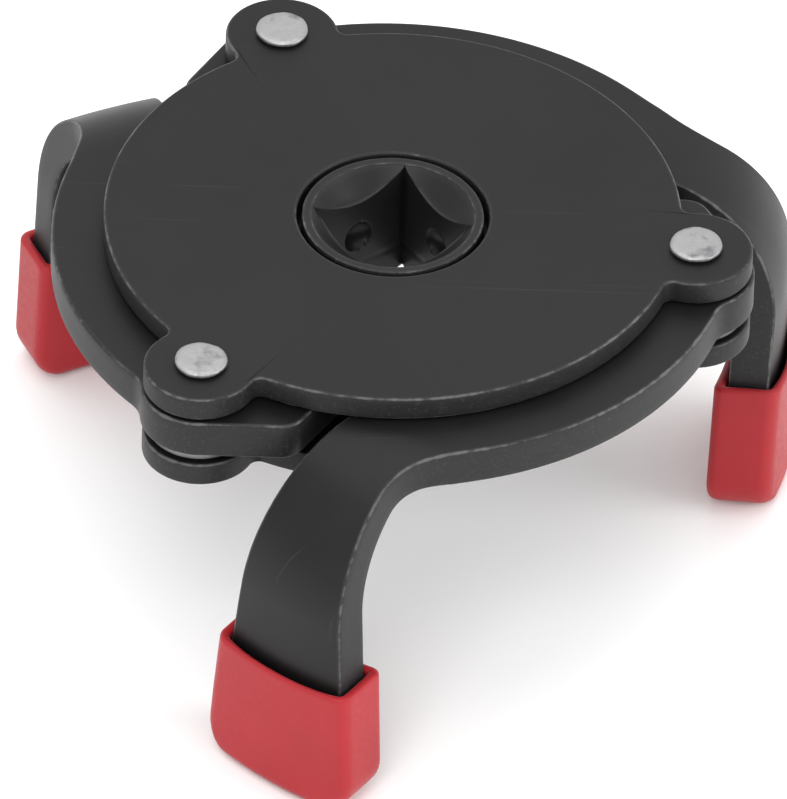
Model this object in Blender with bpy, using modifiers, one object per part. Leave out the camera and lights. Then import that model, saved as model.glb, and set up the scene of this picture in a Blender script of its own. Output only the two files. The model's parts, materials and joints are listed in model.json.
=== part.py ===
"""Three-jaw geared oil filter wrench.

Two tri-lobed steel plates are held apart by three shouldered rivets.  A gear with a square drive
socket turns between them and meshes with a toothed sector on each of three arms.  Each arm pivots
on a rivet, runs round the plates and bends down into a jaw that wears a dipped rubber sleeve.

Units are metres and +Z is up.  The drive axis is the Z axis, the origin lies on it at the tool's
centre of mass, and the jaws point down.
"""

import math

import bmesh
import bpy
from mathutils import Matrix, Vector

MM = 0.001

# Square drive socket.
DRIVE_SQUARE = 12.7 * MM
DRIVE_FIT = 0.2 * MM
COUNTERSINK_MARGIN = 0.25 * MM
COUNTERSINK_ANGLE = math.radians(42.0)
HUB_RIM = 1.2 * MM
HUB_RECESS = 0.1 * MM
HUB_BELOW = 2.6 * MM
DETENT_RADIUS = 2.3 * MM
DETENT_DEPTH = 1.1 * MM
DETENT_COUNT = 4
HUB_CHAMFER = 0.3 * MM

# Plates.
PLATE_RADIUS = 33.5 * MM
PLATE_THICKNESS = 3.0 * MM
PLATE_EDGE = 0.35 * MM
RIVET_OUTSET = 1.9 * MM
EAR_RADIUS = 6.6 * MM
EAR_FILLET = 1.2 * MM
RIVET_COUNT = 3
FIRST_RIVET_AZIMUTH = math.radians(-7.4)

# Rivets and washers.
SHOULDER_RADIUS = 4.0 * MM
TENON_RADIUS = 2.5 * MM
RIVET_HEAD_LIP = 0.6 * MM
RIVET_HEAD_HEIGHT = 0.6 * MM
RIVET_HEAD_EDGE = 0.25 * MM
WASHER_THICKNESS = 1.0 * MM
WASHER_WALL = 1.6 * MM

# Arms.
ARM_THICKNESS = 4.8 * MM
ARM_ROOT_RADIUS = 6.9 * MM
ARM_ROOT_FILLET = 4.0 * MM
ROOT_FLANK_ANGLE = math.radians(37.4)
ROOT_FLANK_LENGTH = 11.0 * MM
ROOT_FLANK_CORNER = 3.0 * MM
WAIST_DEPTH = 4.5 * MM
WAIST_LAG = math.radians(5.0)
WAIST_CORNER = 2.0 * MM
WAIST_ENDS = math.radians(-26.0)
BAND_OUTSET = 6.0 * MM
BAND_TUCK = 4.8 * MM
JAW_TURN = math.radians(-117.0)
STRAIGHT_FROM = math.radians(50.0)
TUCK_ENDS = math.radians(58.0)
HEEL_INSET = 9.2 * MM
HEEL_BLEND = 9.0 * MM
NECK_WIDTH = 9.2 * MM
BEND_INSET = 5.9 * MM
BEND_RADIUS = 12.7 * MM
BEND_ANGLE = math.radians(90.0)
TOE_SWEEP_OUT = 0.45
TOE_SWEEP_ALONG = 0.3
LEG_LENGTH = 24.4 * MM
HEEL_FLARE = 1.7 * MM
FOOT_WIDTH = 18.3 * MM
FOOT_CORNER = 3.0 * MM
FOOT_CORNER_LEAD = 1.0 * MM
JAW_RADIUS = 46.0 * MM
JAW_SHIFT = 4.0 * MM

# Teeth.
GEAR_TEETH = 15
SECTOR_TEETH_ROUND = 21
SECTOR_TEETH = 4
SECTOR_LEAD = 2
PRESSURE_ANGLE = math.radians(25.0)
ADDENDUM = 0.9
DEDENDUM = 1.2
FLANK_GAP = 0.17 * MM

# Sleeves.
SLEEVE_WALL = 1.2 * MM
SLEEVE_LENGTH = 16.0 * MM
SLEEVE_EDGE = 1.4 * MM

# Clearances.
REST_GAP = 0.3 * MM
TURN_GAP = 0.6 * MM

# Height of the top plate's upper face above the centre of mass.
TOP_FACE_Z = 11.78 * MM

# Fineness of curved stretches.
WIDE_ARC_STEP = math.radians(6.0)
TIGHT_ARC_STEP = math.radians(16.0)
TIGHT_RADIUS = 10.0 * MM
TURN_STEPS = 28
BEND_STEPS = 10
JAW_STEPS = 6
TOE_STEPS = 10
FLANK_STEPS = 4
SLEEVE_EDGE_STEPS = 3
HUB_HOLE_STEPS = 48
RIVET_HOLE_STEPS = 24
ARM_HOLE_STEPS = 32
DETENT_STEPS = 8
SMOOTH_ANGLE = math.radians(30.0)
ROUNDED_ANGLE = math.radians(60.0)
FLAT_ANGLE = math.radians(1.0)
WELD = 0.000001
CUT_OVER = 2.0 * MM

# Sizes that follow from those above.
SOCKET_WIDTH = DRIVE_SQUARE + DRIVE_FIT
SOCKET_CORNER = SOCKET_WIDTH / math.sqrt(2.0)
COUNTERSINK_RADIUS = SOCKET_CORNER + COUNTERSINK_MARGIN
HUB_RADIUS = COUNTERSINK_RADIUS + HUB_RIM
HUB_HOLE_RADIUS = HUB_RADIUS + TURN_GAP
RIVET_CIRCLE = PLATE_RADIUS + RIVET_OUTSET
TENON_HOLE_RADIUS = TENON_RADIUS + REST_GAP
ARM_HOLE_RADIUS = SHOULDER_RADIUS + REST_GAP
MODULE = 2.0 * RIVET_CIRCLE / (GEAR_TEETH + SECTOR_TEETH_ROUND)
BAND_OUTER = PLATE_RADIUS + BAND_OUTSET
BAND_INNER = PLATE_RADIUS - BAND_TUCK
BEND_START = PLATE_RADIUS - BEND_INSET
HEEL_EDGE = PLATE_RADIUS - HEEL_INSET
TOE_AT_NECK = HEEL_EDGE - NECK_WIDTH
TOE_AT_FOOT = HEEL_EDGE + HEEL_FLARE - FOOT_WIDTH
JAW_MIDDLE = 0.5 * (HEEL_EDGE + TOE_AT_FOOT) + JAW_SHIFT
OUTER_BEND = BEND_RADIUS + ARM_THICKNESS
MID_BEND = BEND_RADIUS + 0.5 * ARM_THICKNESS
BEND_LENGTH = MID_BEND * BEND_ANGLE
FOOT_END = BEND_START + BEND_LENGTH + LEG_LENGTH
SLEEVE_RIM = FOOT_END - SLEEVE_LENGTH

# Levels, from the top down.
TOP_PLATE_LOW = TOP_FACE_Z - PLATE_THICKNESS
ARM_TOP = TOP_PLATE_LOW - REST_GAP
ARM_LOW = ARM_TOP - ARM_THICKNESS
WASHER_TOP = ARM_LOW - REST_GAP
WASHER_LOW = WASHER_TOP - WASHER_THICKNESS
BOTTOM_PLATE_TOP = WASHER_LOW - REST_GAP
BOTTOM_PLATE_LOW = BOTTOM_PLATE_TOP - PLATE_THICKNESS
HUB_TOP = TOP_FACE_Z - HUB_RECESS
HUB_LOW = BOTTOM_PLATE_LOW - HUB_BELOW


def clear_scene():
    """Remove every object, so that a second run starts clean."""
    for item in list(bpy.data.objects):
        bpy.data.objects.remove(item, do_unlink=True)


def new_collection(name):
    """Return a new collection linked to the scene."""
    collection = bpy.data.collections.new(name)
    bpy.context.scene.collection.children.link(collection)
    return collection


def new_material(name, colour, roughness, metallic):
    """Return a Principled material."""
    material = bpy.data.materials.new(name)
    material.use_nodes = True
    shader = material.node_tree.nodes["Principled BSDF"]
    shader.inputs["Base Color"].default_value = (*colour, 1.0)
    shader.inputs["Roughness"].default_value = roughness
    shader.inputs["Metallic"].default_value = metallic
    return material


def polar(radius, angle, centre=(0.0, 0.0)):
    """Return the point at a radius and an angle from a centre."""
    return (centre[0] + radius * math.cos(angle), centre[1] + radius * math.sin(angle))


def arc(centre, radius, start, end):
    """Return points along an arc, ends included; it runs clockwise when end is less than start."""
    step = TIGHT_ARC_STEP if radius < TIGHT_RADIUS else WIDE_ARC_STEP
    steps = max(2, math.ceil(abs(end - start) / step))
    return [polar(radius, start + (end - start) * i / steps, centre) for i in range(steps + 1)]


def heading(start, end):
    """Return the angle of the line from one point to another."""
    return math.atan2(end[1] - start[1], end[0] - start[0])


def corner_arc(before, corner, after, radius):
    """Return the arc that rounds the corner between two straight lines."""
    enter = heading(before, corner)
    turn = (heading(corner, after) - enter + math.pi) % (2.0 * math.pi) - math.pi
    back = radius * math.tan(abs(turn) / 2.0)
    side = math.copysign(math.pi / 2.0, turn)
    start = polar(-back, enter, corner)
    centre = polar(radius, enter + side, start)
    return arc(centre, radius, enter - side, enter - side + turn)


def curve_between(start, control, end, steps):
    """Return points of the quadratic Bezier curve from start to end, ends included."""
    points = []
    for i in range(steps + 1):
        t = i / steps
        blend = ((1.0 - t) ** 2, 2.0 * t * (1.0 - t), t * t)
        points.append(tuple(sum(b * p[k] for b, p in zip(blend, (start, control, end))) for k in (0, 1)))
    return points


def outside_fillet(main_radius, lobe_distance, lobe_radius, fillet):
    """Return the angles of the arc that blends a disc into a round lobe beside it.

    The disc stands at the origin and the lobe on the X axis.  The result is the fillet centre's
    polar angle about the disc, its distance, and its direction as seen from the lobe's centre.
    """
    reach = main_radius + fillet
    far = lobe_radius + fillet
    cosine = (lobe_distance ** 2 + reach ** 2 - far ** 2) / (2.0 * lobe_distance * reach)
    about_disc = math.acos(cosine)
    centre = polar(reach, about_disc)
    return about_disc, reach, heading((lobe_distance, 0.0), centre)


def without_repeats(points):
    """Drop each point that repeats the one before it, round the loop."""
    kept = []
    for point in points:
        if not kept or math.dist(kept[-1], point) > WELD:
            kept.append(point)
    if math.dist(kept[0], kept[-1]) < WELD:
        kept.pop()
    return kept


def mesh_of(item):
    """Return an object's evaluated mesh with its doubles welded, and remove the object."""
    bpy.context.view_layer.update()
    evaluated = item.evaluated_get(bpy.context.evaluated_depsgraph_get())
    mesh = bpy.data.meshes.new_from_object(evaluated)
    bpy.data.objects.remove(item, do_unlink=True)
    shape = bmesh.new()
    shape.from_mesh(mesh)
    bmesh.ops.remove_doubles(shape, verts=shape.verts, dist=WELD)
    shape.to_mesh(mesh)
    shape.free()
    return mesh


def flat_mesh(outlines, low, high, edge=0.0):
    """Return a flat solid between two levels, from an outline and its holes."""
    curve = bpy.data.curves.new("outline", "CURVE")
    curve.dimensions = "2D"
    curve.fill_mode = "BOTH"
    curve.extrude = 0.5 * (high - low) - edge
    if edge > 0.0:
        curve.bevel_depth = edge
        curve.offset = -edge
        curve.bevel_resolution = 0
    for outline in outlines:
        points = without_repeats(outline)
        spline = curve.splines.new("POLY")
        spline.points.add(len(points) - 1)
        for target, point in zip(spline.points, points):
            target.co = (point[0], point[1], 0.0, 1.0)
        spline.use_cyclic_u = True
    item = bpy.data.objects.new("outline", curve)
    bpy.context.scene.collection.objects.link(item)
    mesh = mesh_of(item)
    mesh.transform(Matrix.Translation((0.0, 0.0, 0.5 * (low + high))))
    return mesh


def turned_mesh(profile, closed=False):
    """Return the solid turned by a profile of (radius, height) points, top to bottom outside."""
    points = [(radius, 0.0, height) for radius, height in profile]
    edges = [(i, i + 1) for i in range(len(points) - 1)]
    if closed:
        edges.append((len(points) - 1, 0))
    mesh = bpy.data.meshes.new("profile")
    mesh.from_pydata(points, edges, [])
    item = bpy.data.objects.new("profile", mesh)
    bpy.context.scene.collection.objects.link(item)
    screw = item.modifiers.new("turn", "SCREW")
    screw.steps = TURN_STEPS
    screw.render_steps = TURN_STEPS
    screw.use_merge_vertices = True
    screw.merge_threshold = WELD
    return mesh_of(item)


def place(name, mesh, material, collection, location=(0.0, 0.0, 0.0), azimuth=0.0, parent=None):
    """Add a named object that shows a mesh."""
    item = bpy.data.objects.new(name, mesh)
    item.location = location
    item.rotation_euler = (0.0, 0.0, azimuth)
    item.parent = parent
    collection.objects.link(item)
    if not mesh.materials:
        mesh.materials.append(material)
    mesh.shade_smooth()
    mesh.set_sharp_from_angle(angle=SMOOTH_ANGLE)
    return item


def boolean(item, cutter, operation):
    """Join or cut an object with another through a Boolean modifier."""
    modifier = item.modifiers.new(cutter.name, "BOOLEAN")
    modifier.operation = operation
    modifier.solver = "EXACT"
    modifier.object = cutter


def hidden(name, mesh, collection):
    """Add a cutter: a guide that is never rendered."""
    item = bpy.data.objects.new(name, mesh)
    item.hide_render = True
    item.display_type = "WIRE"
    collection.objects.link(item)
    return item


def involute(base, radius):
    """Return the angle that an involute has unrolled by a radius."""
    if radius <= base:
        return 0.0
    pressure = math.acos(base / radius)
    return math.tan(pressure) - pressure


def tooth(teeth, centre_angle):
    """Return one tooth as (radius, angle) pairs, from its root round its tip to its root."""
    pitch = 0.5 * MODULE * teeth
    base = pitch * math.cos(PRESSURE_ANGLE)
    tip = pitch + ADDENDUM * MODULE
    root = pitch - DEDENDUM * MODULE
    half = 0.5 * math.pi / teeth - FLANK_GAP / pitch + involute(base, pitch)
    start = max(base, root)
    side = [(root, half)]
    for i in range(FLANK_STEPS + 1):
        radius = start + (tip - start) * i / FLANK_STEPS
        side.append((radius, half - involute(base, radius)))
    rising = [(radius, centre_angle - angle) for radius, angle in side]
    falling = [(radius, centre_angle + angle) for radius, angle in reversed(side)]
    return rising + falling


def plate_outline():
    """Return the tri-lobed outline: a disc with a round ear about each rivet."""
    about_disc, reach, about_lobe = outside_fillet(PLATE_RADIUS, RIVET_CIRCLE, EAR_RADIUS, EAR_FILLET)
    spacing = 2.0 * math.pi / RIVET_COUNT
    points = []
    for i in range(RIVET_COUNT):
        azimuth = FIRST_RIVET_AZIMUTH + i * spacing
        ear = polar(RIVET_CIRCLE, azimuth)
        before = polar(reach, azimuth - about_disc)
        after = polar(reach, azimuth + about_disc)
        points += arc(before, EAR_FILLET, azimuth + math.pi - about_disc, azimuth + math.pi - about_lobe)
        points += arc(ear, EAR_RADIUS, azimuth - about_lobe, azimuth + about_lobe)
        points += arc(after, EAR_FILLET, azimuth + about_lobe - math.pi, azimuth + about_disc - math.pi)
        points += arc((0.0, 0.0), PLATE_RADIUS, azimuth + about_disc, azimuth + spacing - about_disc)
    return points


def circle(radius, steps, centre=(0.0, 0.0)):
    """Return points round a circle."""
    return [polar(radius, 2.0 * math.pi * i / steps, centre) for i in range(steps)]


def rivet_azimuths():
    """Return the azimuth of each rivet."""
    return [FIRST_RIVET_AZIMUTH + i * 2.0 * math.pi / RIVET_COUNT for i in range(RIVET_COUNT)]


def add_plates(collection):
    """Add the two tri-lobed plates with their hub hole and rivet holes."""
    rivets = [polar(RIVET_CIRCLE, azimuth) for azimuth in rivet_azimuths()]
    holes = [circle(TENON_HOLE_RADIUS, RIVET_HOLE_STEPS, rivet) for rivet in rivets]
    outlines = [plate_outline(), circle(HUB_HOLE_RADIUS, HUB_HOLE_STEPS)] + holes
    top = new_material("top_plate_black", (0.045, 0.045, 0.047), 0.42, 0.2)
    low = new_material("bottom_plate_black", (0.04, 0.04, 0.042), 0.45, 0.2)
    upper = flat_mesh(outlines, TOP_PLATE_LOW, TOP_FACE_Z, PLATE_EDGE)
    lower = flat_mesh(outlines, BOTTOM_PLATE_LOW, BOTTOM_PLATE_TOP, PLATE_EDGE)
    place("top_plate", upper, top, collection)
    place("bottom_plate", lower, low, collection)


def add_rivets(collection):
    """Add the shouldered rivets that hold the plates apart, and the washer under each arm."""
    head = TENON_RADIUS + RIVET_HEAD_LIP
    head_high = TOP_FACE_Z + REST_GAP
    head_low = BOTTOM_PLATE_LOW - REST_GAP
    shoulder_high = TOP_PLATE_LOW - REST_GAP
    shoulder_low = BOTTOM_PLATE_TOP + REST_GAP
    profile = [
        (0.0, head_high + RIVET_HEAD_HEIGHT),
        (head - RIVET_HEAD_EDGE, head_high + RIVET_HEAD_HEIGHT),
        (head, head_high + RIVET_HEAD_HEIGHT - RIVET_HEAD_EDGE),
        (head, head_high),
        (TENON_RADIUS, head_high),
        (TENON_RADIUS, shoulder_high),
        (SHOULDER_RADIUS, shoulder_high),
        (SHOULDER_RADIUS, shoulder_low),
        (TENON_RADIUS, shoulder_low),
        (TENON_RADIUS, head_low),
        (head, head_low),
        (head, head_low - RIVET_HEAD_HEIGHT + RIVET_HEAD_EDGE),
        (head - RIVET_HEAD_EDGE, head_low - RIVET_HEAD_HEIGHT),
        (0.0, head_low - RIVET_HEAD_HEIGHT),
    ]
    rivet = turned_mesh(profile)
    inner = SHOULDER_RADIUS + REST_GAP
    outer = inner + WASHER_WALL
    ring = [(inner, WASHER_TOP), (outer, WASHER_TOP), (outer, WASHER_LOW), (inner, WASHER_LOW)]
    washer = turned_mesh(ring, closed=True)
    steel = new_material("rivet_steel", (0.62, 0.62, 0.63), 0.35, 0.9)
    plated = new_material("washer_steel", (0.35, 0.35, 0.36), 0.4, 0.9)
    for i, azimuth in enumerate(rivet_azimuths()):
        spot = (*polar(RIVET_CIRCLE, azimuth), 0.0)
        place(f"pivot_rivet_{i + 1}", rivet, steel, collection, spot, azimuth)
        place(f"arm_washer_{i + 1}", washer, plated, collection, spot, azimuth)


def gear_phase():
    """Return the azimuth of one gear tooth: a tooth space faces the sector's middle tooth."""
    return FIRST_RIVET_AZIMUTH + math.pi / GEAR_TEETH


def add_drive_gear(collection, cutters):
    """Add the drive gear: a toothed rim on a hub, with a countersunk square socket."""
    outline = []
    for i in range(GEAR_TEETH):
        middle = gear_phase() + i * 2.0 * math.pi / GEAR_TEETH
        outline += [polar(radius, angle) for radius, angle in tooth(GEAR_TEETH, middle)]
    rim = flat_mesh([outline], WASHER_LOW, ARM_TOP)
    steel = new_material("drive_gear_black", (0.035, 0.035, 0.037), 0.38, 0.3)
    gear = place("drive_gear", rim, steel, collection)

    hub = hidden("hub", turned_mesh([
        (0.0, HUB_TOP),
        (HUB_RADIUS - HUB_CHAMFER, HUB_TOP),
        (HUB_RADIUS, HUB_TOP - HUB_CHAMFER),
        (HUB_RADIUS, HUB_LOW + HUB_CHAMFER),
        (HUB_RADIUS - HUB_CHAMFER, HUB_LOW),
        (0.0, HUB_LOW),
    ]), cutters)
    boolean(gear, hub, "UNION")

    square = flat_mesh([circle(SOCKET_CORNER, 4)], HUB_LOW - CUT_OVER, HUB_TOP + CUT_OVER)
    socket = hidden("square_socket", square, cutters)
    socket.rotation_euler = (0.0, 0.0, FIRST_RIVET_AZIMUTH)
    boolean(gear, socket, "DIFFERENCE")

    slope = math.tan(COUNTERSINK_ANGLE)
    sink = hidden("countersink", turned_mesh([
        (0.0, HUB_TOP + CUT_OVER),
        (COUNTERSINK_RADIUS + CUT_OVER / slope, HUB_TOP + CUT_OVER),
        (0.0, HUB_TOP - COUNTERSINK_RADIUS * slope),
    ]), cutters)
    boolean(gear, sink, "DIFFERENCE")

    shape = bmesh.new()
    rings = DETENT_STEPS
    bmesh.ops.create_uvsphere(shape, u_segments=2 * rings, v_segments=rings, radius=DETENT_RADIUS)
    mesh = bpy.data.meshes.new("detent")
    shape.to_mesh(mesh)
    shape.free()
    depth = 0.5 * SOCKET_WIDTH + DETENT_DEPTH - DETENT_RADIUS
    for i in range(DETENT_COUNT):
        ball = hidden(f"detent_{i + 1}", mesh, cutters)
        side = FIRST_RIVET_AZIMUTH + math.pi / DETENT_COUNT + i * 2.0 * math.pi / DETENT_COUNT
        ball.location = (*polar(depth, side), 0.5 * (HUB_TOP + HUB_LOW))
        boolean(gear, ball, "DIFFERENCE")


def to_arm(out, along):
    """Turn jaw coordinates into the arm's frame, whose origin is the pivot and +X points outward.

    In jaw coordinates the drive axis is the origin, the first number runs out through the jaw's
    face and the second along it, from toe to heel.
    """
    x = out * math.cos(JAW_TURN) - along * math.sin(JAW_TURN)
    y = out * math.sin(JAW_TURN) + along * math.cos(JAW_TURN)
    return (x - RIVET_CIRCLE, y)


def to_jaw(x, y):
    """Turn a point of the arm's frame into jaw coordinates."""
    x += RIVET_CIRCLE
    return (x * math.cos(JAW_TURN) + y * math.sin(JAW_TURN), -x * math.sin(JAW_TURN) + y * math.cos(JAW_TURN))


def foot_outline(margin, start):
    """Return the unbent leg below a level, grown by a margin, in jaw coordinates, toe side first."""
    toe = [point for point in toe_curve() if point[0] > start]
    share = (start - BEND_START) / (FOOT_END - BEND_START)
    toe_start = (start, toe_at(start) - margin)
    bottom = FOOT_END + margin
    corner = FOOT_CORNER + margin
    low_toe = (bottom, TOE_AT_FOOT - margin)
    low_heel = (bottom, HEEL_EDGE + HEEL_FLARE + margin)
    heel_start = (start, HEEL_EDGE + HEEL_FLARE * share + margin)
    side = [(out, along - margin) for out, along in toe if out < FOOT_END - FOOT_CORNER - FOOT_CORNER_LEAD]
    points = [toe_start] + side
    points += corner_arc(points[-1], low_toe, low_heel, corner)
    points += corner_arc(low_toe, low_heel, heel_start, corner)
    points.append(heel_start)
    return points


def toe_curve():
    """Return the toe edge from neck to foot in jaw coordinates."""
    neck = (BEND_START, TOE_AT_NECK)
    out = BEND_START + TOE_SWEEP_OUT * (FOOT_END - BEND_START)
    along = TOE_AT_FOOT + TOE_SWEEP_ALONG * (TOE_AT_NECK - TOE_AT_FOOT)
    return curve_between(neck, (out, along), (FOOT_END, TOE_AT_FOOT), TOE_STEPS)


def toe_at(out):
    """Return the toe edge's place along the jaw at a distance out."""
    points = toe_curve()
    for first, second in zip(points, points[1:]):
        if first[0] <= out <= second[0]:
            return first[1] + (second[1] - first[1]) * (out - first[0]) / (second[0] - first[0])
    return points[-1][1]


def sector_outline():
    """Return the sector's teeth about the pivot; its middle space line faces the drive axis."""
    points = []
    for i in range(SECTOR_TEETH):
        middle = math.pi + (i - SECTOR_LEAD) * 2.0 * math.pi / SECTOR_TEETH_ROUND
        points += [polar(radius, angle) for radius, angle in tooth(SECTOR_TEETH_ROUND, middle)]
    return points


def arm_outline():
    """Return the flat blank of an arm in the arm's frame, anticlockwise."""
    axis = (-RIVET_CIRCLE, 0.0)
    straight = JAW_TURN + STRAIGHT_FROM
    about_disc, reach, about_lobe = outside_fillet(BAND_OUTER, RIVET_CIRCLE, ARM_ROOT_RADIUS, ARM_ROOT_FILLET)
    points = arc(axis, BAND_OUTER, straight, -about_disc)
    root_centre = polar(reach, -about_disc, axis)
    points += arc(root_centre, ARM_ROOT_FILLET, math.pi - about_disc, math.pi - about_lobe)
    points += arc((0.0, 0.0), ARM_ROOT_RADIUS, -about_lobe, ROOT_FLANK_ANGLE)

    teeth = sector_outline()
    flank = polar(ROOT_FLANK_LENGTH, ROOT_FLANK_ANGLE + math.pi / 2.0, points[-1])
    points += corner_arc(points[-1], flank, teeth[0], ROOT_FLANK_CORNER)
    points += teeth

    tuck = arc(axis, BAND_INNER, WAIST_ENDS, JAW_TURN + TUCK_ENDS)
    last = teeth[-1]
    waist = polar(math.hypot(*last) - WAIST_DEPTH, heading((0.0, 0.0), last) + WAIST_LAG)
    points += corner_arc(last, waist, tuck[0], WAIST_CORNER)
    points += tuck

    foot = foot_outline(0.0, BEND_START)[:-1]
    points += [to_arm(*point) for point in foot]
    join = to_jaw(*polar(BAND_OUTER, straight, axis))
    run = (HEEL_EDGE - join[1]) / -math.cos(STRAIGHT_FROM)
    elbow = (join[0] + run * math.sin(STRAIGHT_FROM), HEEL_EDGE)
    points += [to_arm(*point) for point in corner_arc(foot[-1], elbow, join, HEEL_BLEND)]
    return points


def bent(x, y, z):
    """Carry a point of the flat blank to its place on the bent arm.

    Beyond the bend line the blank wraps round the bend, then runs straight down the leg, and the
    leg is dished along the jaw to the radius of the filter it grips.
    """
    out, along = to_jaw(x, y)
    past = out - BEND_START
    if past <= 0.0:
        return (x, y, z)
    angle = min(past / MID_BEND, BEND_ANGLE)
    beyond = max(0.0, past - BEND_LENGTH)
    radius = OUTER_BEND - (ARM_TOP - z)
    dish = (along - JAW_MIDDLE) ** 2 / (2.0 * JAW_RADIUS) * math.sin(angle)
    out = BEND_START + radius * math.sin(angle) + beyond * math.cos(angle) - dish
    height = ARM_TOP - OUTER_BEND + radius * math.cos(angle) - beyond * math.sin(angle)
    return (*to_arm(out, along), height)


def bend_mesh(mesh):
    """Cut a flat blank along its bend lines and jaw lines, then bend it."""
    out = Vector((math.cos(JAW_TURN), math.sin(JAW_TURN), 0.0))
    along = Vector((-math.sin(JAW_TURN), math.cos(JAW_TURN), 0.0))
    shape = bmesh.new()
    shape.from_mesh(mesh)

    def cut(distance, direction, only_leg):
        """Cut the shape by a plane at a distance from the drive axis."""
        faces = list(shape.faces)
        if only_leg:
            faces = [f for f in faces if to_jaw(*f.calc_center_median()[:2])[0] > BEND_START]
        parts = {e for f in faces for e in f.edges} | {v for f in faces for v in f.verts} | set(faces)
        spot = Vector((-RIVET_CIRCLE, 0.0, 0.0)) + direction * distance
        bmesh.ops.bisect_plane(shape, geom=list(parts), dist=WELD, plane_co=spot, plane_no=direction)

    for i in range(BEND_STEPS + 1):
        cut(BEND_START + BEND_LENGTH * i / BEND_STEPS, out, False)
    for i in range(1, JAW_STEPS):
        cut(TOE_AT_FOOT + (HEEL_EDGE - TOE_AT_FOOT) * i / JAW_STEPS, along, True)
    bmesh.ops.remove_doubles(shape, verts=shape.verts, dist=WELD)
    bmesh.ops.triangulate(shape, faces=shape.faces)
    for vert in shape.verts:
        vert.co = bent(*vert.co)
    shape.to_mesh(mesh)
    shape.free()
    return mesh


def round_edges(mesh, width, rim):
    """Round every edge of a flat blank but those of its rim."""
    shape = bmesh.new()
    shape.from_mesh(mesh)
    bmesh.ops.dissolve_limit(shape, angle_limit=FLAT_ANGLE, verts=shape.verts, edges=shape.edges)
    sharp = []
    for edge in shape.edges:
        ends = [to_jaw(*vert.co[:2])[0] for vert in edge.verts]
        at_rim = max(ends) < rim + WELD
        if not at_rim and edge.calc_face_angle(0.0) > ROUNDED_ANGLE:
            sharp.append(edge)
    bmesh.ops.bevel(
        shape,
        geom=sharp,
        offset=width,
        offset_type="OFFSET",
        segments=SLEEVE_EDGE_STEPS,
        profile=0.5,
        affect="EDGES",
    )
    shape.to_mesh(mesh)
    shape.free()


def add_arms(collection, cutters):
    """Add the three arms and the rubber sleeves on their jaws."""
    hole = circle(ARM_HOLE_RADIUS, ARM_HOLE_STEPS)
    arm = bend_mesh(flat_mesh([arm_outline(), hole], ARM_LOW, ARM_TOP))

    grown = REST_GAP + SLEEVE_WALL
    shell_outline = [to_arm(*point) for point in foot_outline(grown, SLEEVE_RIM)]
    shell_flat = flat_mesh([shell_outline], ARM_LOW - grown, ARM_TOP + grown)
    round_edges(shell_flat, SLEEVE_EDGE, SLEEVE_RIM)
    shell = hidden("sleeve_shell", bend_mesh(shell_flat), cutters)
    pocket_outline = [to_arm(*point) for point in foot_outline(REST_GAP, SLEEVE_RIM - CUT_OVER)]
    pocket_flat = flat_mesh([pocket_outline], ARM_LOW - REST_GAP, ARM_TOP + REST_GAP)
    pocket = hidden("sleeve_pocket", bend_mesh(pocket_flat), cutters)
    boolean(shell, pocket, "DIFFERENCE")
    sleeve = mesh_of(shell)

    black = new_material("arm_black", (0.045, 0.045, 0.047), 0.4, 0.2)
    red = new_material("grip_red", (0.56, 0.045, 0.06), 0.45, 0.0)
    for i, azimuth in enumerate(rivet_azimuths()):
        spot = (*polar(RIVET_CIRCLE, azimuth), 0.0)
        holder = place(f"arm_{i + 1}", arm, black, collection, spot, azimuth)
        place(f"grip_sleeve_{i + 1}", sleeve, red, collection, parent=holder)


def main():
    """Build the wrench."""
    clear_scene()
    parts = new_collection("oil_filter_wrench")
    cutters = new_collection("cutters")
    add_plates(parts)
    add_rivets(parts)
    add_drive_gear(parts, cutters)
    add_arms(parts, cutters)


main()
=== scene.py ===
import json
import logging
import math
from dataclasses import dataclass, field
from enum import Enum

import bmesh
import bpy
import numpy as np
from mathutils import Matrix, Vector


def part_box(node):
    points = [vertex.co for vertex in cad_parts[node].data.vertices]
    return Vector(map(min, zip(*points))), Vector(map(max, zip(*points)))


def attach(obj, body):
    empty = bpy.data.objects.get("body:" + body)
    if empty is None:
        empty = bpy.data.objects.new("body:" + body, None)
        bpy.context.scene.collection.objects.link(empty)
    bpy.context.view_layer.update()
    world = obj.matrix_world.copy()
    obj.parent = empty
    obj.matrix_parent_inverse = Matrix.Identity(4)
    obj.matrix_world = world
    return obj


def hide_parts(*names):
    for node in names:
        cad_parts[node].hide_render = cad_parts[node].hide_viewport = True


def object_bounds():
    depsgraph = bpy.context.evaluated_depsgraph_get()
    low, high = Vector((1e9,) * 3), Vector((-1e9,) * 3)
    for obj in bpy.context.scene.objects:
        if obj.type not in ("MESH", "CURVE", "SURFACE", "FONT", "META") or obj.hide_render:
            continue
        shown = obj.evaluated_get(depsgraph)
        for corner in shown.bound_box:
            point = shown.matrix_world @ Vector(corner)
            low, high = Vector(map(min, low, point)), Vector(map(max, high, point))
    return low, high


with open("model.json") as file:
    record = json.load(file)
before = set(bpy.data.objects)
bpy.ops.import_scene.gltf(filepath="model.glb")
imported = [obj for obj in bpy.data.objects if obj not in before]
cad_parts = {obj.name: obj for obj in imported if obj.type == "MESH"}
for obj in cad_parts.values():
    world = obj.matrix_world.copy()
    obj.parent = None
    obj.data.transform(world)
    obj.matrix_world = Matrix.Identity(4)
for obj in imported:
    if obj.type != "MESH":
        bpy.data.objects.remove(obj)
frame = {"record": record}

CAD_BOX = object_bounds()
LOG = logging.getLogger("oil_filter_wrench")
MM = 0.001
WELD = 1.0e-6
FULL_TURN = 2.0 * math.pi
THIRD_TURN = FULL_TURN / 3.0


# ---------------------------------------------------------------- plane curves


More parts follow.
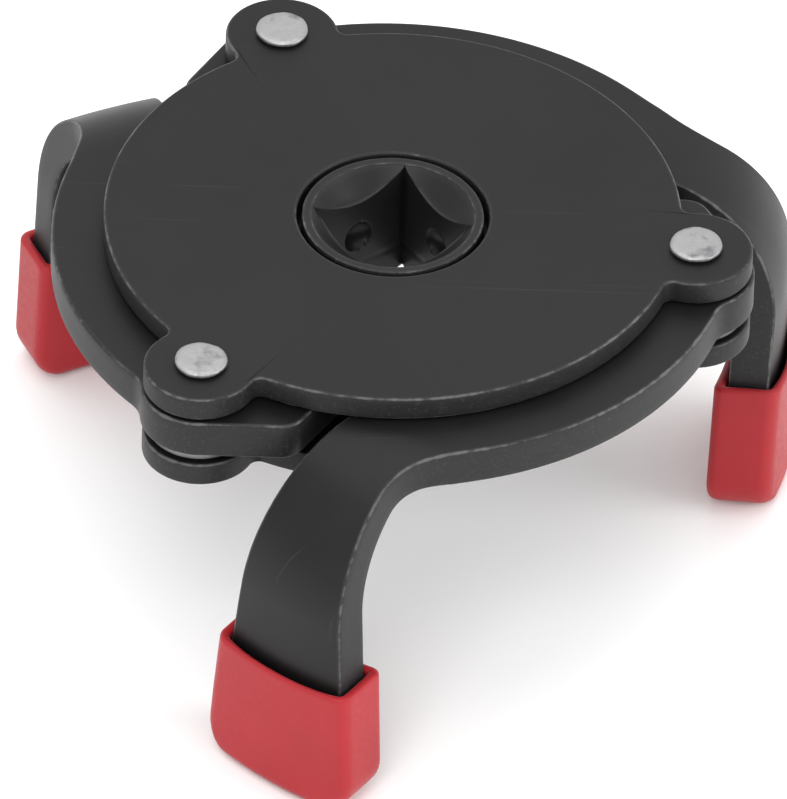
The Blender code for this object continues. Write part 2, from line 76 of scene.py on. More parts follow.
def polar(radius: np.ndarray, angle: np.ndarray, centre: tuple[float, float] = (0.0, 0.0)) -> np.ndarray:
    """Return plane points: the centre plus the radius times the cosine and sine of the angle.

    Args:
        radius: One radius, or one for each angle.
        angle: Angles in radians.
        centre: The point that they are measured from.

    Returns:
        An array of points, one row each.
    """
    radius, angle = np.broadcast_arrays(radius, angle)
    return np.stack([centre[0] + radius * np.cos(angle), centre[1] + radius * np.sin(angle)], axis=-1)


def arc(centre: tuple[float, float], radius: float, start: float, end: float, count: int) -> np.ndarray:
    """Return count points at even steps of angle along an arc, both ends included."""
    return polar(radius, np.linspace(start, end, count), centre)


def heading(start: np.ndarray, end: np.ndarray) -> float:
    """Return the angle of the line from start to end."""
    return math.atan2(end[1] - start[1], end[0] - start[0])


def rounded_corner(
    before: np.ndarray, corner: np.ndarray, after: np.ndarray, radius: float, count: int
) -> np.ndarray:
    """Return the arc that rounds a corner.

    The arc starts the radius times the tangent of half the turn ahead of the corner, and its
    centre lies one radius to the side that the path turns to.

    Args:
        before: A point on the line that comes in.
        corner: The sharp corner.
        after: A point on the line that goes out.
        radius: The arc's radius.
        count: How many points the arc has.

    Returns:
        The arc's points.
    """
    enter = heading(before, corner)
    turn = (heading(corner, after) - enter + math.pi) % (2.0 * math.pi) - math.pi
    back = radius * math.tan(abs(turn) / 2.0)
    side = math.copysign(math.pi / 2.0, turn)
    start = polar(-back, enter, tuple(corner))
    centre = polar(radius, enter + side, tuple(start))
    return arc(tuple(centre), radius, enter - side, enter - side + turn, count)


def resampled(points: np.ndarray, count: int) -> np.ndarray:
    """Return count points at even lengths along a path, read off its running length.

    Args:
        points: The path, one row for each point.
        count: How many points to return.

    Returns:
        The points, both ends included.
    """
    steps = np.hypot(*np.diff(points, axis=0).T)
    length = np.concatenate([[0.0], np.cumsum(steps)])
    wanted = np.linspace(0.0, length[-1], count)
    return np.stack([np.interp(wanted, length, points[:, k]) for k in (0, 1)], axis=-1)


def outside_fillet(main: float, distance: float, lobe: float, fillet: float) -> tuple[float, float, float]:
    """Return where an arc blends a disc at the origin into a round lobe on the X axis.

    The fillet's centre is the main radius plus the fillet from the origin, and the lobe's radius
    plus the fillet from the lobe, so the law of cosines gives its angle.

    Args:
        main: Radius of the disc.
        distance: How far the lobe's centre is from the disc's.
        lobe: Radius of the lobe.
        fillet: Radius of the blend.

    Returns:
        The fillet centre's angle about the disc, its distance, and its angle about the lobe.
    """
    reach = main + fillet
    far = lobe + fillet
    about_disc = math.acos((distance**2 + reach**2 - far**2) / (2.0 * distance * reach))
    centre = polar(reach, about_disc)
    return about_disc, reach, heading(np.array([distance, 0.0]), centre)


def outward(loop: np.ndarray) -> np.ndarray:
    """Return each point's outward direction on an anticlockwise loop: its tangent turned clockwise.

    Args:
        loop: The closed loop, one row for each point.

    Returns:
        A direction of length one for each point.
    """
    ahead = np.roll(loop, -1, axis=0) - loop
    ahead /= np.maximum(np.hypot(*ahead.T)[:, None], 1.0e-12)
    tangent = ahead + np.roll(ahead, 1, axis=0)
    tangent /= np.maximum(np.hypot(*tangent.T)[:, None], 1.0e-12)
    return np.stack([tangent[:, 1], -tangent[:, 0]], axis=-1)


def lifted(points: np.ndarray, height: np.ndarray) -> np.ndarray:
    """Return plane points with heights added as their third number."""
    height = np.broadcast_to(height, points.shape[:-1])
    return np.concatenate([points, height[..., None]], axis=-1)


def turned(points: np.ndarray, angle: float) -> np.ndarray:
    """Return points turned about the Z axis: x cos - y sin, x sin + y cos.

    Args:
        points: Points with two or three numbers each.
        angle: The turn in radians, anticlockwise.

    Returns:
        The turned points.
    """
    x, y = points[..., 0], points[..., 1]
    parts = [x * math.cos(angle) - y * math.sin(angle), x * math.sin(angle) + y * math.cos(angle)]
    return np.stack(parts + [points[..., k] for k in range(2, points.shape[-1])], axis=-1)


@dataclass(frozen=True)
class EdgeProfile:
    """The section of a pressed sheet's wall: two rounded edges with a straight wall between."""

    thickness: float
    radius: float
    steps: int = 5
    support: float = 0.07 * MM

    def rows(self) -> tuple[np.ndarray, np.ndarray, np.ndarray]:
        """Work out the section from the upper face round to the lower one.

        At an angle a round the edge the wall stands in by the radius times one less the sine of a,
        and below the face by the radius times one less the cosine of a.

        Returns:
            How far each row stands in, how far it is below the upper face, and its wear weight.
        """
        a = np.linspace(0.0, math.pi / 2.0, self.steps)
        inset = np.concatenate([[self.radius + self.support], self.radius * (1.0 - np.sin(a))])
        drop = np.concatenate([[0.0], self.radius * (1.0 - np.cos(a))])
        wear = np.concatenate([[0.1], 0.45 + 0.55 * np.sin(2.0 * a)])
        wall = np.linspace(self.radius, self.thickness - self.radius, 5)[1:-1]
        inset = np.concatenate([inset, np.zeros(3), inset[::-1]])
        drop = np.concatenate([drop, wall, self.thickness - drop[::-1]])
        wear = np.concatenate([wear, np.full(3, 0.45), wear[::-1]])
        return inset, drop, wear


# ---------------------------------------------------------------- surfaces


@dataclass(frozen=True)
class Patch:
    """A grid of points with a wear weight at each, open or closed in either direction."""

    points: np.ndarray
    wear: np.ndarray
    wrap_rows: bool = False
    wrap_columns: bool = False

    def faces(self, first: int) -> np.ndarray:
        """Return the grid's four-sided faces, numbered from first, by stepping one row and column.

        Args:
            first: The number of the grid's first point in the joined mesh.

        Returns:
            Four point numbers for each face.
        """
        rows, columns = self.points.shape[:2]
        r = np.arange(rows if self.wrap_rows else rows - 1)
        c = np.arange(columns if self.wrap_columns else columns - 1)
        r, c = np.meshgrid(r, c, indexing="ij")
        below, beside = (r + 1) % rows, (c + 1) % columns
        corners = [r * columns + c, r * columns + beside, below * columns + beside, below * columns + c]
        return np.stack(corners, axis=-1).reshape(-1, 4) + first


def make_piece(name: str, patches: list[Patch], body: str, material: bpy.types.Material,
               node: str, sharp: float = 38.0) -> bpy.types.Object:
    """Join patches into one closed piece, dress it and hang it on its body.

    Args:
        name: The piece's name.
        patches: Grids whose borders meet point for point.
        body: The moving body that it rides on.
        material: Its finish.
        node: The CAD node that it stands for.
        sharp: Edges that turn by more degrees than this stay crisp.

    Returns:
        The new object.
    """
    firsts = np.cumsum([0] + [p.wear.size for p in patches])
    points = np.concatenate([p.points.reshape(-1, 3) for p in patches])
    wear = np.concatenate([p.wear.reshape(-1) for p in patches])
    faces = np.concatenate([p.faces(int(f)) for p, f in zip(patches, firsts)])
    mesh = bpy.data.meshes.new(name)
    mesh.from_pydata(points.tolist(), [], faces.tolist())
    layer = mesh.attributes.new("wear", "FLOAT", "POINT")
    layer.data.foreach_set("value", wear.astype(np.float32))
    shape = bmesh.new()
    shape.from_mesh(mesh)
    bmesh.ops.remove_doubles(shape, verts=shape.verts, dist=WELD)
    bmesh.ops.recalc_face_normals(shape, faces=shape.faces)
    open_edges = sum(1 for edge in shape.edges if not edge.is_manifold)
    shape.to_mesh(mesh)
    shape.free()
    mesh.shade_smooth()
    mesh.set_sharp_from_angle(angle=math.radians(sharp))
    mesh.materials.append(material)
    piece = bpy.data.objects.new(name, mesh)
    bpy.context.scene.collection.objects.link(piece)
    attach(piece, body)
    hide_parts(node)
    LOG.info("%s: %d faces, %d open edges", name, len(mesh.polygons), open_edges)
    return piece


def lathe(radius: np.ndarray, height: np.ndarray, wear: np.ndarray, count: int, centre: tuple[float, float],
          closed: bool = False) -> Patch:
    """Return the surface turned by a profile: each row is a circle of its radius at its height.

    Args:
        radius: The profile's radii, top to bottom outside.
        height: Its heights.
        wear: Its wear weights.
        count: How many points go round.
        centre: Where the axis stands.
        closed: Whether the last row joins the first.

    Returns:
        The patch.
    """
    angle = np.linspace(0.0, FULL_TURN, count, endpoint=False)
    plane = polar(radius[:, None], angle[None, :], centre)
    points = lifted(plane, np.broadcast_to(height[:, None], plane.shape[:-1]))
    return Patch(points, np.broadcast_to(wear[:, None], plane.shape[:-1]), closed, True)


# ---------------------------------------------------------------- finishes


@dataclass
class Graph:
    """A node tree that is filled a node at a time."""

    tree: bpy.types.NodeTree

    def node(self, kind: str, links: dict | None = None, **settings: object) -> bpy.types.Node:
        """Add a node.

        Args:
            kind: The node's type, without its ShaderNode prefix.
            links: For each input, by name or number, the socket or the value that it takes.
            settings: Properties of the node itself.

        Returns:
            The new node.
        """
        new = self.tree.nodes.new(kind if kind.startswith("Node") else "ShaderNode" + kind)
        for key, value in settings.items():
            setattr(new, key, value)
        for key, value in (links or {}).items():
            if isinstance(value, bpy.types.NodeSocket):
                self.tree.links.new(value, new.inputs[key])
            else:
                new.inputs[key].default_value = value
        return new

    def noise(self, place: bpy.types.NodeSocket, scale: float, detail: float = 3.0) -> bpy.types.NodeSocket:
        """Return fractal noise with features about one over the scale in metres."""
        return self.node("TexNoise", {"Vector": place, "Scale": scale, "Detail": detail}).outputs[0]

    def ramp(self, value: bpy.types.NodeSocket, low: float, high: float, to_low: float = 0.0,
             to_high: float = 1.0) -> bpy.types.NodeSocket:
        """Return a value carried linearly from one range to another and held at its ends."""
        links = {0: value, 1: low, 2: high, 3: to_low, 4: to_high}
        return self.node("MapRange", links, clamp=True).outputs[0]

    def maths(self, operation: str, first: object, second: object = 0.0) -> bpy.types.NodeSocket:
        """Return the named operation on two numbers."""
        return self.node("Math", {0: first, 1: second}, operation=operation).outputs[0]

    def mix(self, factor: object, first: object, second: object) -> bpy.types.NodeSocket:
        """Return the blend of two colours, from the first at zero to the second at one."""
        return self.node("Mix", {0: factor, 6: first, 7: second}, data_type="RGBA").outputs[2]


def rgba(colour: tuple[float, float, float]) -> tuple[float, float, float, float]:
    """Return a colour with full opacity."""
    return (*colour, 1.0)


def start_group(name: str, inputs: dict[str, float], outputs: list[str]) -> tuple[Graph, bpy.types.Node]:
    """Open a node group with number inputs and outputs.

    Args:
        name: The group's name.
        inputs: Each input's name and first value.
        outputs: The outputs' names.

    Returns:
        The group's graph and its input node.
    """
    tree = bpy.data.node_groups.new(name, "ShaderNodeTree")
    for key, value in inputs.items():
        tree.interface.new_socket(key, in_out="INPUT", socket_type="NodeSocketFloat").default_value = value
    for key in outputs:
        tree.interface.new_socket(key, in_out="OUTPUT", socket_type="NodeSocketFloat")
    graph = Graph(tree)
    return graph, graph.node("NodeGroupInput")


def edge_wear_group() -> bpy.types.NodeTree:
    """Build the wear along edges: the wear attribute plus noise, past a threshold.

    Returns:
        The group, which gives a mask of rubbed edges and a mask of sheared walls; on the rivets the bare
        steel uses the second mask as painted shade on the heads' sides and undersides.
    """
    graph, given = start_group("edge_wear", {"Amount": 0.5, "Chip scale": 900.0}, ["Rubbed", "Sheared"])
    place = graph.node("TexCoord").outputs["Object"]
    weight = graph.node("Attribute", attribute_name="wear").outputs["Fac"]
    chips = graph.node("TexNoise", {"Vector": place, "Scale": given.outputs[1], "Detail": 4.0}).outputs[0]
    broad = graph.noise(place, 90.0, 2.0)
    raised = graph.maths("ADD", graph.maths("MULTIPLY", chips, 0.9), graph.maths("MULTIPLY", broad, 0.9))
    total = graph.maths("ADD", raised, weight)
    mask = graph.ramp(total, 1.68, 1.98)
    rubbed = graph.maths("MULTIPLY", mask, given.outputs[0])
    sheared = graph.ramp(weight, 0.3, 0.45)
    graph.node("NodeGroupOutput", {0: rubbed, 1: sheared})
    return graph.tree


def coat_grain_group() -> bpy.types.NodeTree:
    """Build the coat's unevenness: broad clouding, fine grain, pits and hairline scratches.

    Returns:
        The group, which gives clouding, grain and scratch masks.
    """
    inputs = {"Cloud scale": 60.0, "Grain scale": 2600.0}
    graph, given = start_group("coat_grain", inputs, ["Cloud", "Grain", "Scratch"])
    place = graph.node("TexCoord").outputs["Object"]
    cloud = graph.node("TexNoise", {"Vector": place, "Scale": given.outputs[0], "Detail": 4.0}).outputs[0]
    grain = graph.node("TexNoise", {"Vector": place, "Scale": given.outputs[1], "Detail": 3.0}).outputs[0]
    marks = []
    for angle, stretch, seed in ((0.5, 26.0, 0.0), (-0.9, 19.0, 0.05), (2.1, 33.0, 0.09)):
        lines = graph.node("Mapping", {"Vector": place, "Location": (seed, seed, seed),
                                       "Rotation": (0.0, 0.0, angle), "Scale": (stretch, 2600.0, 40.0)})
        fine = graph.noise(lines.outputs[0], 1.0, 1.0)
        marks.append(graph.ramp(fine, 0.77, 0.82))
    scratch = graph.maths("MAXIMUM", graph.maths("MAXIMUM", marks[0], marks[1]), marks[2])
    graph.node("NodeGroupOutput", {0: cloud, 1: grain, 2: scratch})
    return graph.tree


@dataclass
class Effects:
    """The effects that several finishes share, built once."""

    wear: bpy.types.NodeTree = field(default_factory=edge_wear_group)
    grain: bpy.types.NodeTree = field(default_factory=coat_grain_group)


def open_material(name: str) -> tuple[bpy.types.Material, Graph, bpy.types.Node]:
    """Return a new material, its graph and its Principled shader.

    Args:
        name: The material's name.

    Returns:
        The material, its graph and its shader.
    """
    material = bpy.data.materials.new(name)
    material.use_nodes = True
    return material, Graph(material.node_tree), material.node_tree.nodes["Principled BSDF"]


@dataclass(frozen=True)
class BlackCoat:
    """A satin black coat on pressed steel, paler where it is rubbed and grey on sheared walls."""

    name: str
    colour: tuple[float, float, float] = (0.0055, 0.0055, 0.0058)
    clouded: tuple[float, float, float] = (0.0085, 0.0085, 0.0088)
    bared: tuple[float, float, float] = (0.11, 0.11, 0.113)
    sheared: tuple[float, float, float] = (0.034, 0.034, 0.035)
    rough: tuple[float, float] = (0.40, 0.52)
    wear: float = 0.8
    bump: float = 0.10
    gloss: float = 0.25

    def build(self, effects: Effects) -> bpy.types.Material:
        """Build the material: the coat blends to its clouded, sheared, scratched and bared colours in turn.

        Args:
            effects: The shared groups.

        Returns:
            The material.
        """
        material, graph, shader = open_material(self.name)
        grain = graph.node("Group", node_tree=effects.grain)
        edges = graph.node("Group", node_tree=effects.wear)
        edges.inputs[0].default_value = self.wear
        cloud = graph.ramp(grain.outputs["Cloud"], 0.35, 0.65)
        speck = graph.ramp(grain.outputs["Grain"], 0.55, 0.75)
        colour = graph.mix(cloud, rgba(self.colour), rgba(self.clouded))
        walls = graph.maths("MULTIPLY", edges.outputs["Sheared"], graph.ramp(speck, 0.0, 1.0, 0.35, 1.0))
        colour = graph.mix(walls, colour, rgba(self.sheared))
        lines = graph.maths("MULTIPLY", grain.outputs["Scratch"], 0.10)
        colour = graph.mix(lines, colour, rgba(self.bared))
        colour = graph.mix(edges.outputs["Rubbed"], colour, rgba(self.bared))
        rough = graph.ramp(grain.outputs["Cloud"], 0.3, 0.7, *self.rough)
        rough = graph.maths("ADD", rough, graph.maths("MULTIPLY", walls, 0.12))
        height = graph.maths("ADD", grain.outputs["Grain"], graph.maths("MULTIPLY", walls, speck))
        bump = graph.node("Bump", {"Strength": self.bump, "Distance": 0.1 * MM, "Height": height})
        shader.inputs["Specular IOR Level"].default_value = self.gloss
        graph.tree.links.new(colour, shader.inputs["Base Color"])
        graph.tree.links.new(rough, shader.inputs["Roughness"])
        graph.tree.links.new(bump.outputs[0], shader.inputs["Normal"])
        return material


@dataclass(frozen=True)
class BareSteel:
    """Bare steel: bright on its faces, darker in random spots, with painted shade on the sides and undersides
    of the rivet heads.
    """

    name: str
    bright: tuple[float, float, float] = (0.36, 0.36, 0.365)
    # The darker steel colour for random spots, and the painted shade colour on the rivet heads' sides and
    # undersides.
    dull_and_shade: tuple[float, float, float] = (0.19, 0.19, 0.195)
    rough: tuple[float, float] = (0.32, 0.55)
    bump: float = 0.35

    def build(self, effects: Effects) -> bpy.types.Material:
        """Build the material: clouding blends the bright steel to a darker colour in random spots, and the
        sheared mask blends it to the same colour as painted shade on the rivet heads' sides and undersides.

        Args:
            effects: The shared groups.

        Returns:
            The material.
        """
        material, graph, shader = open_material(self.name)
        grain = graph.node("Group", node_tree=effects.grain)
        grain.inputs[0].default_value = 420.0
        grain.inputs[1].default_value = 1900.0
        edges = graph.node("Group", node_tree=effects.wear)
        spots = graph.ramp(grain.outputs["Cloud"], 0.56, 0.70)
        # Painted shade: on a rivet the sheared mask covers each head's side and underside, and the steel
        # darkens there as it does in the random spots.
        low = graph.maths("MAXIMUM", spots, graph.maths("MULTIPLY", edges.outputs["Sheared"], 0.75))
        shade = graph.mix(low, rgba(self.bright), rgba(self.dull_and_shade))
        rough = graph.ramp(grain.outputs["Grain"], 0.3, 0.7, *self.rough)
        fine = graph.maths("MULTIPLY", grain.outputs["Grain"], 0.3)
        height = graph.maths("ADD", grain.outputs["Cloud"], fine)
        bump = graph.node("Bump", {"Strength": self.bump, "Distance": 0.25 * MM, "Height": height})
        shader.inputs["Metallic"].default_value = 0.85
        graph.tree.links.new(shade, shader.inputs["Base Color"])
        graph.tree.links.new(rough, shader.inputs["Roughness"])
        graph.tree.links.new(bump.outputs[0], shader.inputs["Normal"])
        return material


@dataclass(frozen=True)
class DippedRubber:
    """Soft red dipped rubber: even colour, faint clouding, a dusty bloom and painted shade darkening the
    pocket inside the rim.
    """

    name: str
    colour: tuple[float, float, float] = (0.38, 0.010, 0.017)
    deep: tuple[float, float, float] = (0.32, 0.008, 0.013)
    # Painted shade: the darker red that the pocket's inside takes below the rim.
    rim: tuple[float, float, float] = (0.16, 0.012, 0.018)
    rough: tuple[float, float] = (0.44, 0.56)
    bump: float = 0.08

    def build(self, effects: Effects) -> bpy.types.Material:
        """Build the material: the red blends to a deeper red by its clouding and to a darker red, painted
        shade, by the pocket's weight inside the rim.

        Args:
            effects: The shared groups.

        Returns:
            The material.
        """
        material, graph, shader = open_material(self.name)
        grain = graph.node("Group", node_tree=effects.grain)
        grain.inputs[0].default_value = 75.0
        grain.inputs[1].default_value = 1500.0
        # On a sleeve the wear attribute holds the pocket's weight, which drives only painted shade.
        weight = graph.node("Attribute", attribute_name="wear").outputs["Fac"]
        cloud = graph.ramp(grain.outputs["Cloud"], 0.3, 0.7)
        colour = graph.mix(cloud, rgba(self.colour), rgba(self.deep))
        # Painted shade: the pocket's inside darkens below the rim.
        colour = graph.mix(graph.ramp(weight, 0.2, 1.0), colour, rgba(self.rim))
        rough = graph.ramp(grain.outputs["Grain"], 0.3, 0.7, *self.rough)
        broad = graph.maths("MULTIPLY", grain.outputs["Cloud"], 2.0)
        height = graph.maths("ADD", grain.outputs["Grain"], broad)
        bump = graph.node("Bump", {"Strength": self.bump, "Distance": 0.1 * MM, "Height": height})
        shader.inputs["Sheen Weight"].default_value = 0.05
        shader.inputs["Sheen Roughness"].default_value = 0.5
        shader.inputs["Specular IOR Level"].default_value = 0.35
        graph.tree.links.new(colour, shader.inputs["Base Color"])
        graph.tree.links.new(rough, shader.inputs["Roughness"])
        graph.tree.links.new(bump.outputs[0], shader.inputs["Normal"])
        return material


# ---------------------------------------------------------------- the tool's places


@dataclass(frozen=True)
class Layout:
    """Where the CAD model puts the levels and the pivots, in metres."""

    top: float
    top_low: float
    arm_top: float
    arm_low: float
    washer: tuple[float, float]
    bottom_top: float
    bottom: float
    hub: tuple[float, float]
    rivet: tuple[float, float]
    pivots: tuple[tuple[float, float], ...]

    @classmethod
    def from_frame(cls) -> "Layout":
        """Read the levels off the nodes' boxes and the pivots off the record's joints.

        Returns:
            The layout.
        """
        upper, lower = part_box("top_plate"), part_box("bottom_plate")
        washer, hub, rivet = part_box("arm_washer_1"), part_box("drive_gear"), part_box("pivot_rivet_1")
        joints = frame["record"]["behaviour"]["joints"]
        pivots = tuple(tuple(j["pos_m"][:2]) for j in joints if j["name"].startswith("jaw"))
        gap = upper[0].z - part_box("arm_1")[1].z
        return cls(
            top=upper[1].z, top_low=upper[0].z, arm_top=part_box("arm_1")[1].z, arm_low=washer[1].z + gap,
            washer=(washer[0].z, washer[1].z), bottom_top=lower[1].z, bottom=lower[0].z,
            hub=(hub[0].z, hub[1].z), rivet=(rivet[0].z, rivet[1].z), pivots=pivots)

    def azimuth(self, index: int) -> float:
        """Return the direction of a pivot from the drive axis."""
        return math.atan2(self.pivots[index][1], self.pivots[index][0])


# ---------------------------------------------------------------- plates


class Side(Enum):
    """Which of the two plates."""

    TOP = "top"
    BOTTOM = "bottom"


@dataclass
class LobedPlate:
    """A pressed plate: a disc with an ear about each rivet and a hole for the hub."""

    side: Side
    layout: Layout
    radius: float = 33.5 * MM
    ear: float = 6.6 * MM
    ear_fillet: float = 1.2 * MM
    hole: float = 11.17 * MM
    edge: float = 0.36 * MM
    columns: int = 720

    def outline(self) -> np.ndarray:
        """Work out the loop: for each third, ear fillet, ear, ear fillet and rim, joined in turn.

        Returns:
            Points at even lengths, anticlockwise, the same number for each third.
        """
        pivot = math.hypot(*self.layout.pivots[0])
        about_disc, reach, about_ear = outside_fillet(self.radius, pivot, self.ear, self.ear_fillet)
        third = THIRD_TURN
        before, after = polar(reach, -about_disc), polar(reach, about_disc)
        path = np.concatenate([
            arc(tuple(before), self.ear_fillet, math.pi - about_disc, math.pi - about_ear, 24),
            arc((pivot, 0.0), self.ear, -about_ear, about_ear, 120),
            arc(tuple(after), self.ear_fillet, about_ear - math.pi, about_disc - math.pi, 24),
            arc((0.0, 0.0), self.radius, about_disc, third - about_disc, 160),
        ])
        sector = resampled(path, self.columns // 3 + 1)[:-1]
        return np.concatenate([turned(sector, self.layout.azimuth(0) + i * third) for i in range(3)])

    def patches(self, high: float, low: float) -> list[Patch]:
        """Carry the rounded wall round the rim and the hole, and span the faces between them.

        A face's row at a share t is the hole's loop times one less t plus the rim's loop times t.

        Args:
            high: The upper face's level.
            low: The lower face's level.

        Returns:
            The plate's four patches.
        """
        rim = self.outline()
        inset, drop, wear = EdgeProfile(high - low, self.edge).rows()
        even = np.linspace(0.0, FULL_TURN, self.columns, endpoint=False)
        third = self.columns // 3
        start = self.layout.azimuth(0) - outside_fillet(
            self.radius, math.hypot(*self.layout.pivots[0]), self.ear, self.ear_fillet)[0]
        lean = 0.035 * np.sin(2.0 * math.pi * np.arange(self.columns) / third)
        hole = polar(1.0, even + start + lean)
        wall = lifted(rim[None] - inset[:, None, None] * outward(rim)[None], high - drop[:, None])
        bore = lifted(hole[None] * (self.hole + inset)[:, None, None], high - drop[:, None])
        weights = np.broadcast_to(wear[:, None], wall.shape[:2])
        share = np.array([0.0, 0.25, 0.5, 0.75, 0.92, 1.0])[:, None, None]
        upper = bore[0][None] * (1.0 - share) + wall[0][None] * share
        lower = bore[-1][None] * (1.0 - share) + wall[-1][None] * share
        plain = np.full(upper.shape[:2], 0.1)
        return [Patch(wall, weights, False, True), Patch(bore, weights * 0.8, False, True),
                Patch(upper, plain, False, True), Patch(lower, plain, False, True)]

    def build(self, material: bpy.types.Material) -> None:
        """Make this plate and hang it on the housing.

        Args:
            material: The plate's finish.
        """
        lay = self.layout
        levels = (lay.top, lay.top_low) if self.side is Side.TOP else (lay.bottom_top, lay.bottom)
        node = f"{self.side.value}_plate"
        make_piece(f"{node}_pressed", self.patches(*levels), "housing", material, node)


# ---------------------------------------------------------------- rivets and washers


@dataclass
class PivotSet:
    """The three shouldered rivets, peened over the plates, and the washer under each arm."""

    layout: Layout
    head: float = 3.1 * MM
    tenon: float = 2.5 * MM
    shoulder: float = 4.0 * MM
    head_height: float = 0.62 * MM
    washer_inner: float = 4.3 * MM
    washer_outer: float = 5.9 * MM
    columns: int = 120

    def rivet(self, index: int) -> Patch:
        """Turn the rivet's profile, then dent its heads.

        A head's face is lowered by waves of the plane's x and y, and its rim runs in and out with
        two waves of the angle, so that it looks hammered.

        Args:
            index: Which rivet, which also shifts the waves.

        Returns:
            The rivet's surface.
        """
        lay, low, high = self.layout, self.layout.rivet[0], self.layout.rivet[1]
        under = high - self.head_height
        round_off = 0.16 * MM
        # The third number is a weight: on the lower rounding, the side and the underside of each head it is
        # past 0.45, where the bare steel paints shade.
        top = [(0.0, high, 0), (0.9 * MM, high, 0), (1.8 * MM, high, 0), (2.5 * MM, high - 0.02 * MM, 0),
               (self.head - 0.3 * MM, high - 0.04 * MM, 0), (self.head - 0.07 * MM, high - round_off, 0.3),
               (self.head, high - 2.0 * round_off, 0.6), (self.head, under + 0.1 * MM, 0.9),
               (self.head - 0.1 * MM, under, 1.0), (self.tenon, under, 1.0)]
        lower = [(r, high + low - z, w) for r, z, w in reversed(top)]
        stem = [(self.tenon, lay.top_low - 0.1 * MM, 0.5), (self.shoulder, lay.top_low - 0.1 * MM, 0.5),
                (self.shoulder, lay.bottom_top + 0.1 * MM, 0.5), (self.tenon, lay.bottom_top + 0.1 * MM, 0.5)]
        rows = np.array(top + stem + lower)
        patch = lathe(rows[:, 0], rows[:, 1], rows[:, 2], self.columns, self.layout.pivots[index])
        points = patch.points.copy()
        x, y = points[..., 0] * 2600.0 + index, points[..., 1] * 2100.0 - index
        dent = (np.sin(x) * np.sin(y + 0.6 * np.sin(x)) + 0.5 * np.sin(2.3 * x + y)) * 0.018 * MM - 0.028 * MM
        middle = 0.5 * (high + low)
        outer = np.abs(points[..., 2] - middle) > 0.5 * (high - low) - 0.2 * MM
        points[..., 2] += np.where(outer, dent * np.sign(points[..., 2] - middle), 0.0)
        angle = np.linspace(0.0, FULL_TURN, self.columns, endpoint=False)
        ragged = 1.0 - 0.012 * (1.0 + np.sin(3.0 * angle + 2.0 * index)) - 0.006 * (1.0 + np.sin(7.0 * angle))
        at_head = np.abs(points[..., 2] - middle) > 0.5 * (high - low) - self.head_height - 0.01 * MM
        centre = np.array(self.layout.pivots[index])
        scale = np.where(at_head, ragged[None, :], 1.0)[..., None]
        points[..., :2] = centre + (points[..., :2] - centre) * scale
        return Patch(points, patch.wear, False, True)

    def washer(self, index: int) -> Patch:
        """Turn a flat ring with rounded corners, each corner a quarter circle of points.

        Args:
            index: Which pivot the washer is on.

        Returns:
            The washer's surface.
        """
        low, high = self.layout.washer
        r = 0.15 * MM
        a = np.linspace(0.0, math.pi / 2.0, 4)
        corners = [(self.washer_outer - r, high - r, a[::-1]), (self.washer_outer - r, low + r, -a),
                   (self.washer_inner + r, low + r, -a[::-1] - math.pi / 2.0),
                   (self.washer_inner + r, high - r, math.pi - a)]
        radius = np.concatenate([c[0] + r * np.cos(c[2]) for c in corners])
        height = np.concatenate([c[1] + r * np.sin(c[2]) for c in corners])
        wear = np.full(radius.shape, 0.3)
        return lathe(radius, height, wear, self.columns, self.layout.pivots[index], True)

    def build(self, steel: bpy.types.Material, plated: bpy.types.Material) -> None:
        """Make the rivets and the washers and hang them on the housing.

        Args:
            steel: The rivets' finish.
            plated: The washers' finish.
        """
        for i in range(3):
            make_piece(f"peened_rivet_{i + 1}", [self.rivet(i)], "housing", steel,
                       f"pivot_rivet_{i + 1}")
            make_piece(f"spacer_washer_{i + 1}", [self.washer(i)], "housing", plated,
                       f"arm_washer_{i + 1}")


# ---------------------------------------------------------------- teeth


@dataclass(frozen=True)
class ToothForm:
    """Involute teeth of one gear."""

    teeth: int
    module: float
    pressure: float = math.radians(25.0)
    addendum: float = 0.9
    dedendum: float = 1.2
    flank_gap: float = 0.17 * MM

    def flank(self, steps: int = 8) -> tuple[np.ndarray, np.ndarray]:
        """Work out one flank.

        An involute's angle at a radius is the tangent of its pressure angle less that angle.

        Args:
            steps: How many points the flank has above its root.

        Returns:
            Radii from root to tip, and the half angle of the tooth at each.
        """
        pitch = 0.5 * self.module * self.teeth
        base = pitch * math.cos(self.pressure)
        tip, root = pitch + self.addendum * self.module, pitch - self.dedendum * self.module
        radius = np.linspace(max(base, root), tip, steps)
        slope = np.arccos(np.minimum(base / radius, 1.0))
        at_pitch = math.tan(self.pressure) - self.pressure
        half = 0.5 * math.pi / self.teeth - self.flank_gap / pitch + at_pitch - (np.tan(slope) - slope)
        return np.concatenate([[root], radius]), np.concatenate([[half[0] + 1.0e-4], half])

    def radius_at(self, angle: np.ndarray) -> np.ndarray:
        """Return the tooth's radius at angles from its middle, read off its flank."""
        radius, half = self.flank()
        return np.interp(np.abs(angle), half[::-1], radius[::-1])


# ---------------------------------------------------------------- drive gear


